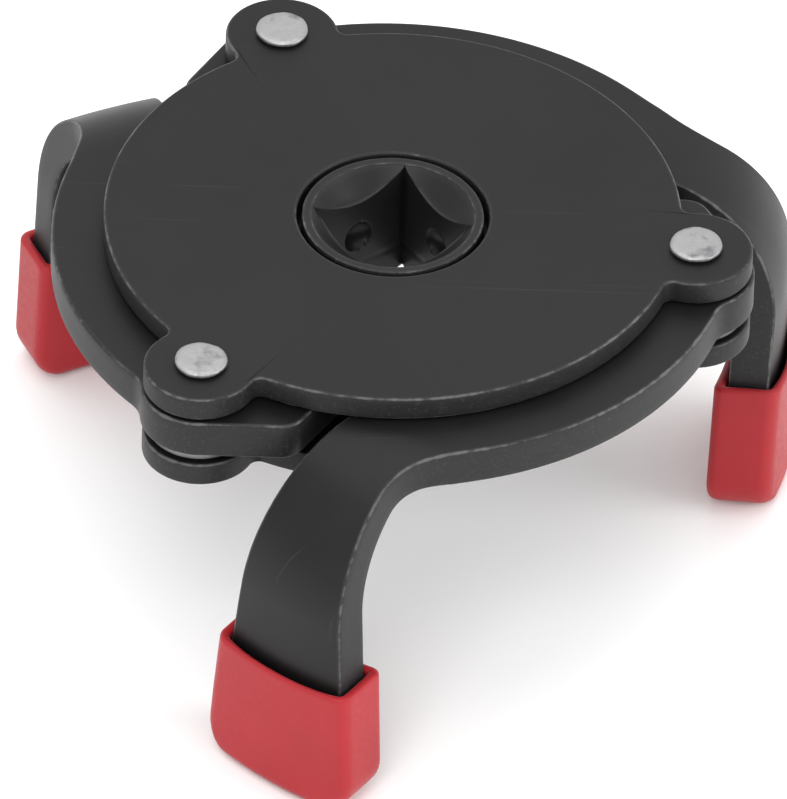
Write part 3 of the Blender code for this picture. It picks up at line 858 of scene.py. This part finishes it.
@dataclass
class DriveGear:
    """The drive gear: a toothed rim on a hub whose square socket has a countersunk mouth."""

    layout: Layout
    square: float = 12.9 * MM
    mouth: float = 9.3717 * MM
    mouth_angle: float = math.radians(42.0)
    hub: float = 10.5717 * MM
    chamfer: float = 0.3 * MM
    detent_radius: float = 2.3 * MM
    detent_depth: float = 1.1 * MM
    form: ToothForm = ToothForm(15, 70.8 * MM / 36.0)
    per_tooth: int = 40
    socket_rows: int = 44

    def angles(self) -> np.ndarray:
        """Return the azimuths round the gear, from a tooth space that faces the first pivot."""
        count = self.form.teeth * self.per_tooth
        return self.layout.azimuth(0) + np.linspace(0.0, FULL_TURN, count, endpoint=False)

    def socket(self, angle: np.ndarray) -> tuple[np.ndarray, np.ndarray]:
        """Work out the socket's walls with the ball detents pressed into them.

        At an angle u from a flat's middle the wall is half the square over the cosine of u. The
        cone comes down to it by the tangent of the mouth's angle. A detent sinks the flat to the
        surface of a ball whose centre lies on the flat's middle line.

        Args:
            angle: The azimuths round the gear.

        Returns:
            Radii and heights, one row for each level from the mouth's crease down.
        """
        low, high = self.layout.hub
        quarter = math.pi / 2.0
        turn = (angle - self.layout.azimuth(0)) % quarter - quarter / 2.0
        half = 0.5 * self.square
        wall = half / np.cos(turn)
        crease = high - (self.mouth - wall) * math.tan(self.mouth_angle)
        share = np.linspace(0.0, 1.0, self.socket_rows)[:, None]
        height = crease[None, :] * (1.0 - share) + (low + 0.25 * MM) * share
        across = half * np.tan(turn)[None, :]
        beside = across**2 + (height - 0.5 * (low + high)) ** 2
        ball = np.sqrt(np.maximum(self.detent_radius**2 - beside, 0.0))
        sink = np.maximum(ball - (self.detent_radius - self.detent_depth), 0.0)
        relief = 0.22 * MM * np.exp(-(((np.abs(turn) - quarter / 2.0) / 0.03) ** 2))
        groove = 0.12 * MM * np.exp(-(((height - low - 3.4 * MM) / (0.35 * MM)) ** 2))
        return (half + sink + groove) / np.cos(turn)[None, :] + relief[None, :], height

    def patch(self) -> Patch:
        """Carry one closed profile round the axis: mouth, hub, teeth, hub, socket and back.

        Returns:
            The gear's surface.
        """
        low, high = self.layout.hub
        angle = self.angles()
        pitch = FULL_TURN / self.form.teeth
        phase = (angle - self.layout.azimuth(0)) % pitch - pitch / 2.0
        teeth = self.form.radius_at(phase)
        rim_high, rim_low = self.layout.arm_top, self.layout.washer[0]
        c, e = self.chamfer, 0.12 * MM
        wall, level = self.socket(angle)
        same = np.ones_like(angle)
        rows = [(self.mouth, high - 0.22 * MM, 0.5), (self.mouth + 0.06 * MM, high - 0.1 * MM, 0.9),
                (self.mouth + 0.18 * MM, high - 0.02 * MM, 0.8), (self.mouth + 0.3 * MM, high, 0.35),
                (self.hub - c - 0.1 * MM, high, 0.3), (self.hub - c, high, 0.6),
                (self.hub - 0.09 * MM, high - 0.09 * MM, 0.9), (self.hub, high - c, 0.6),
                (self.hub, high - 2.0 * c, 0.2), (self.hub, rim_high + 0.3 * MM, 0.1),
                (self.hub + 0.1 * MM, rim_high, 0.1)]
        radius = [same * r for r, _, _ in rows]
        height = [same * z for _, z, _ in rows]
        wear = [w for _, _, w in rows]
        for inset, z, w in ((2.0 * e, rim_high, 0.3), (e, rim_high, 0.6), (0.0, rim_high - e, 0.8),
                            (0.0, rim_low + e, 0.8), (e, rim_low, 0.6), (2.0 * e, rim_low, 0.3)):
            radius.append(teeth - inset)
            height.append(same * z)
            wear.append(w)
        for r, z, w in ((self.hub + 0.1 * MM, rim_low, 0.1), (self.hub, rim_low - 0.3 * MM, 0.1),
                        (self.hub, low + c, 0.6), (self.hub - 0.09 * MM, low + 0.09 * MM, 0.9),
                        (self.hub - c, low, 0.5), (self.hub - c - 0.1 * MM, low, 0.3)):
            radius.append(same * r)
            height.append(same * z)
            wear.append(w)
        radius += [wall[-1] + 0.35 * MM, wall[-1] + 0.25 * MM]
        height += [same * low, same * low]
        wear += [0.3, 0.7]
        radius += list(wall[::-1])
        height += list(level[::-1])
        wear += [0.1] * (self.socket_rows - 1) + [0.7]
        cone = np.linspace(0.12, 1.0, 6)[:, None]
        mouth_radius = wall[0][None] * (1.0 - cone) + (self.mouth - 0.05 * MM) * cone
        radius += list(mouth_radius)
        fall = (self.mouth - 0.05 * MM - mouth_radius) * math.tan(self.mouth_angle) * 0.98
        height += list(high - 0.22 * MM - fall)
        wear += [0.3] * 5 + [0.4]
        plane = polar(np.array(radius), np.broadcast_to(angle, (len(radius), angle.size)))
        weights = np.broadcast_to(np.array(wear)[:, None], plane.shape[:2])
        return Patch(lifted(plane, np.array(height)), weights, True, True)

    def build(self, material: bpy.types.Material) -> None:
        """Make the gear and hang it on the drive."""
        make_piece("square_drive_gear", [self.patch()], "drive", material, "drive_gear", 30.0)


# ---------------------------------------------------------------- arms and sleeves


@dataclass
class JawForm:
    """How a flat blank becomes a bent jaw, in jaw coordinates: out through its face, along it, and up."""

    layout: Layout
    jaw_turn: float = math.radians(-117.0)
    heel: float = 24.3 * MM
    neck: float = 15.1 * MM
    bend_start: float = 27.6 * MM
    bend_radius: float = 12.7 * MM
    bend_angle: float = math.radians(90.0)
    leg: float = 24.4 * MM
    flare: float = 1.7 * MM
    foot: float = 18.3 * MM
    corner: float = 3.0 * MM
    corner_lead: float = 1.0 * MM
    dish_radius: float = 46.0 * MM
    dish_shift: float = 4.0 * MM

    @property
    def thickness(self) -> float:
        """Return the blank's thickness."""
        return self.layout.arm_top - self.layout.arm_low

    @property
    def bend_length(self) -> float:
        """Return the length of the bend along the blank's middle."""
        return (self.bend_radius + 0.5 * self.thickness) * self.bend_angle

    @property
    def end(self) -> float:
        """Return how far out the unbent blank runs."""
        return self.bend_start + self.bend_length + self.leg

    @property
    def toe_foot(self) -> float:
        """Return the toe edge's place at the foot."""
        return self.heel + self.flare - self.foot

    def toe_at(self, out: np.ndarray) -> np.ndarray:
        """Return the toe edge at distances out, read off the quadratic curve from neck to foot.

        Args:
            out: Distances out on the unbent blank.

        Returns:
            The toe edge's place along the jaw at each.
        """
        t = np.linspace(0.0, 1.0, 400)
        lead = self.bend_start + 0.45 * (self.end - self.bend_start)
        side = self.toe_foot + 0.3 * (self.neck - self.toe_foot)
        xs = (1 - t) ** 2 * self.bend_start + 2 * t * (1 - t) * lead + t * t * self.end
        ys = (1 - t) ** 2 * self.neck + 2 * t * (1 - t) * side + t * t * self.toe_foot
        return np.interp(out, xs, ys)

    def heel_at(self, out: np.ndarray) -> np.ndarray:
        """Return the heel edge at distances out, which flares evenly from the bend to the foot."""
        return self.heel + self.flare * (out - self.bend_start) / (self.end - self.bend_start)

    def bent(self, out: np.ndarray, along: np.ndarray, up: np.ndarray) -> np.ndarray:
        """Wrap the blank round its bend and down the leg, and dish it to the filter.

        Past the bend line the angle is the distance over the middle radius, held at the full bend.
        The point turns at its own radius, then runs straight on. The dish takes off the square of
        the distance from the jaw's middle over twice the dish's radius.

        Args:
            out: Distances out on the flat blank.
            along: Distances along the jaw.
            up: Heights on the flat blank.

        Returns:
            Points in the arm's own frame, whose origin is its pivot at the drive axis's height.
        """
        past = out - self.bend_start
        middle = self.bend_radius + 0.5 * self.thickness
        angle = np.clip(past / middle, 0.0, self.bend_angle)
        beyond = np.maximum(0.0, past - self.bend_length)
        radius = self.bend_radius + self.thickness - (self.layout.arm_top - up)
        centre = 0.5 * (self.heel + self.toe_foot) + self.dish_shift
        dish = (along - centre) ** 2 / (2.0 * self.dish_radius) * np.sin(angle)
        far = self.bend_start + radius * np.sin(angle) + beyond * np.cos(angle) - dish
        high = self.layout.arm_top - self.bend_radius - self.thickness
        high = high + radius * np.cos(angle) - beyond * np.sin(angle)
        out = np.where(past > 0.0, far, out)
        up = np.where(past > 0.0, high, up)
        return np.concatenate([self.to_arm(out, along), up[..., None]], axis=-1)

    def to_arm(self, out: np.ndarray, along: np.ndarray) -> np.ndarray:
        """Return jaw coordinates turned into the arm's frame, with the pivot as origin."""
        plane = turned(np.stack([out, along], axis=-1), self.jaw_turn)
        return plane - np.array([math.hypot(*self.layout.pivots[0]), 0.0])

    def to_jaw(self, plane: np.ndarray) -> np.ndarray:
        """Return points of the arm's frame turned into jaw coordinates."""
        return turned(plane + np.array([math.hypot(*self.layout.pivots[0]), 0.0]), -self.jaw_turn)

    def placed(self, points: np.ndarray, index: int) -> np.ndarray:
        """Return points of the arm's frame carried to a pivot."""
        x, y = self.layout.pivots[index]
        return turned(points, self.layout.azimuth(index)) + np.array([x, y, 0.0])


@dataclass
class SwingArm:
    """A flat arm: round root, four teeth, a curved band, a bent jaw."""

    form: JawForm
    root: float = 6.9 * MM
    root_fillet: float = 4.0 * MM
    hole: float = 4.3 * MM
    flank_angle: float = math.radians(37.4)
    flank_length: float = 11.0 * MM
    flank_corner: float = 3.0 * MM
    band_outer: float = 39.5 * MM
    band_inner: float = 28.7 * MM
    junction: float = math.radians(-26.0)
    straight: float = math.radians(-67.0)
    tuck_ends: float = math.radians(-59.0)
    waist_depth: float = 4.5 * MM
    waist_lag: float = math.radians(5.0)
    heel_blend: float = 9.0 * MM
    edge: float = 0.38 * MM
    teeth: ToothForm = ToothForm(21, 70.8 * MM / 36.0)
    across: int = 26

    def root_path(self) -> np.ndarray:
        """Work out the root from the band's outside round to its inside.

        It runs along the band, round the fillet and the root circle, up the flank, over four teeth
        and down the waist.

        Returns:
            The path's points in the arm's frame.
        """
        pivot = math.hypot(*self.form.layout.pivots[0])
        axis = (-pivot, 0.0)
        about_disc, reach, about_root = outside_fillet(self.band_outer, pivot, self.root, self.root_fillet)
        centre = polar(reach, -about_disc, axis)
        path = [arc(axis, self.band_outer, self.junction, -about_disc, 40),
                arc(tuple(centre), self.root_fillet, math.pi - about_disc, math.pi - about_root, 14)[1:],
                arc((0.0, 0.0), self.root, -about_root, self.flank_angle, 60)[1:]]
        radius, half = self.teeth.flank()
        step = FULL_TURN / self.teeth.teeth
        one = np.concatenate([np.stack([radius, -half], -1), np.stack([radius, half], -1)[::-1]])
        teeth = np.concatenate([polar(one[:, 0], math.pi + (i - 2) * step + one[:, 1]) for i in range(4)])
        last = path[-1][-1]
        flank = polar(self.flank_length, self.flank_angle + math.pi / 2.0, tuple(last))
        path.append(rounded_corner(last, flank, teeth[0], self.flank_corner, 12))
        path.append(teeth)
        tuck = polar(self.band_inner, self.junction, axis)
        end = teeth[-1]
        waist = polar(math.hypot(*end) - self.waist_depth, math.atan2(end[1], end[0]) + self.waist_lag)
        path.append(rounded_corner(end, waist, tuck, 2.0 * MM, 10))
        path.append(tuck[None])
        path = np.concatenate(path)
        keep = np.concatenate([[True], np.hypot(*np.diff(path, axis=0).T) > 2.0 * WELD])
        return path[keep]

    def rails(self) -> tuple[np.ndarray, np.ndarray]:
        """Work out the band's inner and outer edges from the junction to the foot, point against point.

        Each edge goes in four stages: along the band, to the bend line, down the leg at even
        distances, and round the foot's corner.

        Returns:
            The inner and the outer edge, with the same number of points.
        """
        form = self.form
        axis = (-math.hypot(*form.layout.pivots[0]), 0.0)
        neck = form.to_arm(np.array(form.bend_start), np.array(form.neck))
        tuck = arc(axis, self.band_inner, self.junction, self.tuck_ends, 60)
        band = arc(axis, self.band_outer, self.junction, self.straight, 60)
        join = form.to_jaw(band[-1])
        cut = -self.straight + form.jaw_turn
        run = (form.heel - join[1]) / -math.cos(cut)
        elbow = np.array([join[0] - run * math.sin(cut), form.heel])
        leg_end = form.end - form.corner - form.corner_lead
        foot_heel = np.array([leg_end, form.heel_at(leg_end)])
        turn = rounded_corner(foot_heel, elbow, join, self.heel_blend, 60)[::-1]
        heel_path = np.concatenate([join[None], turn, foot_heel[None]])
        down = np.linspace(form.bend_start, leg_end, 84)
        toe = np.stack([down, form.toe_at(down)], -1)
        low_toe, low_heel = np.array([form.end, form.toe_foot]), np.array([form.end, form.heel + form.flare])
        toe_corner = rounded_corner(toe[-1], low_toe, low_heel, form.corner, 40)
        heel_corner = rounded_corner(low_toe, low_heel, foot_heel, form.corner, 40)
        blend = form.to_jaw(resampled(np.concatenate([tuck[-1:], neck[None]]), 20))
        outer_leg = np.stack([down, np.interp(down, heel_path[:, 0], heel_path[:, 1])], -1)
        before_bend = heel_path[heel_path[:, 0] < form.bend_start]
        outer_blend = resampled(np.concatenate([before_bend, outer_leg[:1]]), 20)
        toe_tail = resampled(np.concatenate([toe[-1:], toe_corner]), 16)
        heel_tail = resampled(np.concatenate([outer_leg[-1:], heel_corner[::-1]]), 16)
        inner = np.concatenate([form.to_jaw(resampled(tuck, 30)), blend[1:], toe[1:], toe_tail[1:]])
        outer = np.concatenate(
            [form.to_jaw(resampled(band, 30)), outer_blend[1:], outer_leg[1:], heel_tail[1:]])
        return form.to_arm(*inner.T), form.to_arm(*outer.T)

    def patches(self, index: int) -> list[Patch]:
        """Make the arm's wall, its two faces and its pivot hole, then bend them.

        The faces are spanned between the edges set in by the rounding: each row of the band is a
        straight blend from edge to edge, and the root is a straight blend from its outline to the
        hole at the same angle. So the hole is as coarse as the outline is: its widest facet spans
        55 degrees and comes inside the rivet's shoulder, which is a fault still to be mended.

        Args:
            index: Which pivot the arm hangs on.

        Returns:
            The arm's patches, in place.
        """
        root = self.root_path()
        inner, outer = self.rails()
        share = np.concatenate([[0.0, 0.012], np.linspace(0.0, 1.0, self.across)[1:-1], [0.988, 1.0]])
        foot = inner[-1] * (1.0 - share[:, None]) + outer[-1] * share[:, None]
        loop = np.concatenate([root, inner[1:], foot[1:-1], outer[:0:-1]])
        inset, drop, wear = EdgeProfile(self.form.thickness, self.edge).rows()
        side = outward(loop)
        wall = loop[None] - inset[:, None, None] * side[None]
        flat = wall[0]
        n, m = len(root), len(inner)
        inner_flat = flat[n - 1:n + m - 1]
        outer_flat = np.concatenate([flat[:1], flat[:-m:-1]])
        band = inner_flat[:, None] * (1.0 - share[None, :, None]) + outer_flat[:, None] * share[None, :, None]
        band[-1] = np.concatenate([inner_flat[-1:], flat[n + m - 1:n + m + len(share) - 3], outer_flat[-1:]])
        ring = np.concatenate([flat[:n], band[0, 1:-1]])
        angle = np.arctan2(ring[:, 1], ring[:, 0])
        spread = np.array([0.0, 0.03, 0.3, 0.6, 0.93, 1.0])[:, None, None]
        bore = polar(1.0, angle)
        hub = ring[None] * (1.0 - spread) + bore[None] * (self.hole + inset[0]) * spread
        hole = bore[None] * (self.hole + inset)[:, None, None]
        top, low = self.form.layout.arm_top, self.form.layout.arm_low
        made = [(wall, top - drop[:, None], np.broadcast_to(wear[:, None], wall.shape[:2]), True),
                (hole, top - drop[:, None], np.broadcast_to(wear[:, None], hole.shape[:2]), True)]
        made += [(grid, np.array(z), np.full(grid.shape[:2], 0.1), wrap)
                 for z in (top, low) for grid, wrap in ((band, False), (hub, True))]
        done = []
        for grid, z, weight, wrap in made:
            jaw = self.form.to_jaw(grid)
            points = self.form.bent(jaw[..., 0], jaw[..., 1], np.broadcast_to(z, grid.shape[:2]))
            done.append(Patch(self.form.placed(points, index), weight, False, wrap))
        return done

    def build(self, index: int, material: bpy.types.Material) -> None:
        """Make one arm and hang it on its jaw."""
        name = f"arm_{index + 1}"
        make_piece(f"swing_{name}", self.patches(index), f"jaw_{index + 1}", material, name)


@dataclass
class GripSleeve:
    """A dipped rubber sleeve: a soft-edged cup that the jaw's foot stands in."""

    form: JawForm
    wall: float = 1.2 * MM
    gap: float = 0.3 * MM
    length: float = 16.0 * MM
    edge: float = 1.5 * MM
    lip: float = 0.45 * MM
    flat_steps: int = 22

    def section(self) -> tuple[np.ndarray, np.ndarray, np.ndarray, np.ndarray]:
        """Lay out a rounded oblong: flats between corner centres, then quarter circles.

        Returns:
            For each point, the signs that place its corner's centre and its cosine and sine.
        """
        turn = np.linspace(0.0, math.pi / 2.0, 9)[1:-1]
        wide, deep = np.linspace(1.0, -1.0, self.flat_steps), np.linspace(-1.0, 1.0, 7)
        sides = [(np.ones(7), deep, np.ones(7), np.zeros(7)), None,
                 (wide, np.ones_like(wide), np.zeros_like(wide), np.ones_like(wide)), None,
                 (-np.ones(7), -deep, -np.ones(7), np.zeros(7)), None,
                 (-wide, -np.ones_like(wide), np.zeros_like(wide), -np.ones_like(wide)), None]
        corners = [(1.0, 1.0, 0.0), (-1.0, 1.0, 0.5), (-1.0, -1.0, 1.0), (1.0, -1.0, 1.5)]
        parts = []
        for k, side in enumerate(sides):
            if side is not None:
                parts.append(np.stack(side))
            else:
                sx, sy, start = corners[k // 2]
                a = turn + start * math.pi
                parts.append(np.stack([np.full(7, sx), np.full(7, sy), np.cos(a), np.sin(a)]))
        return tuple(np.concatenate(parts, axis=1))

    def rows(self, grown: float, bottom_edge: float, start: float, count: int) -> tuple[np.ndarray, ...]:
        """Work out a cup's rows from its rim down to its closed bottom.

        Down the leg a row spans from the toe edge to the heel edge, each grown by the margin. Near
        the bottom both ends follow a circle of the foot's corner, and the depth follows a smaller
        circle, and the last rows shrink to a line.

        Args:
            grown: How far the cup stands off the jaw.
            bottom_edge: Radius of the circle at its bottom edge.
            start: The first row's distance out.
            count: How many rows run down the leg.

        Returns:
            Distance out, toe end, heel end and half depth for each row.
        """
        form = self.form
        low = form.end + grown
        corner = form.corner + grown
        half = 0.5 * form.thickness + grown
        turn = np.linspace(0.0, math.pi / 2.0, 12)[1:]
        out = np.concatenate([np.linspace(start, low - corner, count), low - corner + corner * np.sin(turn)])
        drawn = np.concatenate([np.zeros(count), corner * (1.0 - np.cos(turn)) * 0.9])
        toe = form.toe_at(np.minimum(out, form.end)) - grown + drawn
        heel = form.heel_at(np.minimum(out, form.end)) + grown - drawn
        rise = np.clip((out - (low - bottom_edge)) / bottom_edge, 0.0, 1.0)
        depth = half - bottom_edge * (1.0 - np.sqrt(1.0 - rise**2))
        fade = np.array([0.66, 0.33, 0.0])
        out = np.concatenate([out, np.full(3, low)])
        toe = np.concatenate([toe, np.full(3, toe[-1])])
        heel = np.concatenate([heel, np.full(3, heel[-1])])
        return out, toe, heel, np.concatenate([depth, depth[-1] * fade])

    def patch(self, index: int) -> Patch:
        """Join the outer cup, the lip and the inner cup into one skin, and bend it.

        The lip is half a circle from the outer wall over to the pocket, and the pocket's mouth
        opens a little on the jaw's outer face.

        Args:
            index: Which arm the sleeve is on.

        Returns:
            The sleeve's surface, in place.
        """
        form = self.form
        rim = form.end - self.length
        grown = self.gap + self.wall
        outside = self.rows(grown, self.edge, rim + self.lip, 26)
        inside = self.rows(self.gap, 0.3 * MM, rim + self.lip, 14)
        turn = np.linspace(0.0, math.pi, 9)[1:-1]
        blend = 0.5 * (1.0 - np.cos(turn))
        lip = tuple(outside[k][0] * (1.0 - blend) + inside[k][0] * blend for k in (1, 2, 3))
        lip_out = rim + self.lip * (1.0 - np.sin(turn))
        out = np.concatenate([outside[0][::-1], lip_out, inside[0]])
        toe, heel, depth = (np.concatenate([outside[k][::-1], lip[k - 1], inside[k]]) for k in (1, 2, 3))
        pocket = np.concatenate([np.zeros(len(outside[0])), blend, np.ones(len(inside[0]))])
        sx, sy, ca, sa = self.section()
        round_off = np.minimum(self.edge * (1.0 - 0.72 * pocket), depth * 0.98)[:, None]
        half = 0.5 * (heel - toe)[:, None]
        along = 0.5 * (heel + toe)[:, None] + sx * (half - round_off) + round_off * ca
        deep = sy * (depth[:, None] - round_off) + round_off * sa
        mouth = pocket * np.exp(-((np.maximum(out - rim, 0.0) / (1.6 * MM)) ** 2))
        share = (along - 0.5 * (heel + toe)[:, None]) / half
        deep = deep + 0.42 * MM * mouth[:, None] * np.clip(sa, 0.0, 1.0) * np.clip(1.0 - share**4, 0.0, 1.0)
        belly = np.sin(math.pi * np.clip((out - rim) / self.length, 0, 1))[:, None]
        swell = 0.10 * MM * (1.0 - pocket)[:, None] * belly
        deep = deep - swell * np.sign(deep) * (1.0 - np.clip(share**2, 0.0, 1.0)) * 0.6
        middle = 0.5 * (form.layout.arm_top + form.layout.arm_low)
        near_rim = np.exp(-((np.maximum(out - rim, 0.0) / (2.4 * MM)) ** 2))[:, None]
        sag = 0.28 * MM * (1.0 - share**2) * near_rim
        points = form.bent(np.broadcast_to(out[:, None], along.shape) + sag, along, middle + deep)
        # The weight stored as wear is a painted shade mask: nothing outside, rising over the first 1.2 mm
        # below the rim down the pocket's inside.
        wear = np.broadcast_to((pocket * np.clip((out - rim) / (1.2 * MM), 0.0, 1.0))[:, None], along.shape)
        return Patch(form.placed(points, index), wear, False, True)

    def build(self, index: int, material: bpy.types.Material) -> None:
        """Make one sleeve and hang it on its jaw."""
        node = f"grip_sleeve_{index + 1}"
        make_piece(f"dipped_{node}", [self.patch(index)], f"jaw_{index + 1}", material, node,
                   60.0)


# ---------------------------------------------------------------- studio


@dataclass
class Studio:
    """A pale floor, soft lights all round and the camera."""

    layout: Layout
    floor_half: float = 3.0
    elevation: float = math.radians(39.88)
    roll: float = math.radians(1.742)
    eye: tuple[float, float, float] = (0.00067, -1.907232, 1.565607)
    lens: float = 961.0

    def camera(self) -> None:
        """Place the camera: along +Y and down by the elevation, from the eye over the plate."""
        data = bpy.data.cameras.new("studio_camera")
        data.lens = self.lens
        data.sensor_width = 36.0
        data.shift_x = 0.0004
        data.clip_start = 0.01
        camera = bpy.data.objects.new("studio_camera", data)
        spot = Vector(self.eye) + Vector((0.0, 0.0, self.layout.top))
        aim = Matrix.Rotation(math.pi / 2.0 - self.elevation, 4, "X") @ Matrix.Rotation(self.roll, 4, "Z")
        camera.matrix_world = Matrix.Translation(spot) @ aim
        bpy.context.scene.collection.objects.link(camera)
        bpy.context.scene.camera = camera

    def light(self, name: str, spot: tuple[float, float, float], size: float, power: float) -> None:
        """Add a square soft light at a spot, turned to face the tool.

        Args:
            name: The light's name.
            spot: Where it stands.
            size: The length of its side.
            power: Its power in watts.
        """
        data = bpy.data.lights.new(name, "AREA")
        data.shape = "SQUARE"
        data.size = size
        data.energy = power
        lamp = bpy.data.objects.new(name, data)
        lamp.location = spot
        lamp.rotation_euler = (-Vector(spot)).to_track_quat("-Z", "Y").to_euler()
        bpy.context.scene.collection.objects.link(lamp)

    def floor(self, level: float) -> None:
        """Lay a pale floor just under the jaws, a square grid with a faint clouding in its colour.

        Args:
            level: The floor's height.
        """
        line = np.linspace(-self.floor_half, self.floor_half, 9)
        x, y = np.meshgrid(line, line)
        patch = Patch(np.stack([x, y, np.full_like(x, level)], axis=-1), np.zeros_like(x))
        mesh = bpy.data.meshes.new("studio_floor")
        mesh.from_pydata(patch.points.reshape(-1, 3).tolist(), [], patch.faces(0).tolist())
        material, graph, shader = open_material("pale_floor")
        cloud = graph.noise(graph.node("TexCoord").outputs["Object"], 3.0)
        colour = graph.mix(cloud, rgba((0.95, 0.95, 0.95)), rgba((0.97, 0.97, 0.97)))
        graph.tree.links.new(colour, shader.inputs["Base Color"])
        shader.inputs["Roughness"].default_value = 0.9
        shader.inputs["Specular IOR Level"].default_value = 0.1
        mesh.materials.append(material)
        floor = bpy.data.objects.new("studio_floor", mesh)
        bpy.context.scene.collection.objects.link(floor)

    def build(self, level: float) -> None:
        """Set the world, the lights, the floor and the camera.

        Args:
            level: The floor's height.
        """
        world = bpy.data.worlds.new("studio_world")
        world.use_nodes = True
        backdrop = world.node_tree.nodes["Background"]
        backdrop.inputs["Color"].default_value = (1.0, 1.0, 1.0, 1.0)
        backdrop.inputs["Strength"].default_value = 1.05
        bpy.context.scene.world = world
        bpy.context.scene.view_settings.view_transform = "Standard"
        self.light("overhead_softbox", (-0.1, 0.15, 0.9), 0.9, 3.0)
        self.light("front_softbox", (-0.2, -0.8, 0.95), 0.5, 4.5)
        self.light("side_softbox", (0.9, -0.2, 0.35), 0.6, 4.0)
        self.floor(level)
        self.camera()


def main() -> None:
    """Build every piece in order, then the studio."""
    logging.basicConfig(level=logging.INFO, format="%(message)s")
    effects = Effects()
    layout = Layout.from_frame()
    plate = BlackCoat("plate_satin_black").build(effects)
    gear = BlackCoat("gear_satin_black", colour=(0.007, 0.007, 0.0075), wear=0.9, rough=(0.34, 0.46))
    gear = gear.build(effects)
    coat = BlackCoat("arm_satin_black", rough=(0.36, 0.47)).build(effects)
    rubber = DippedRubber("red_dipped_rubber").build(effects)
    rivet = BareSteel("peened_rivet_steel").build(effects)
    washer = BareSteel("washer_plain_steel", bright=(0.22, 0.22, 0.225), dull_and_shade=(0.1, 0.1, 0.105))
    washer = washer.build(effects)
    for side in Side:
        LobedPlate(side, layout).build(plate)
    DriveGear(layout).build(gear)
    PivotSet(layout).build(rivet, washer)
    form = JawForm(layout)
    arm, sleeve = SwingArm(form), GripSleeve(form)
    for index in range(3):
        arm.build(index, coat)
        sleeve.build(index, rubber)
    Studio(layout).build(CAD_BOX[0].z - 0.0002)
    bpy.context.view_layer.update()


if __name__ == "__main__":
    main()
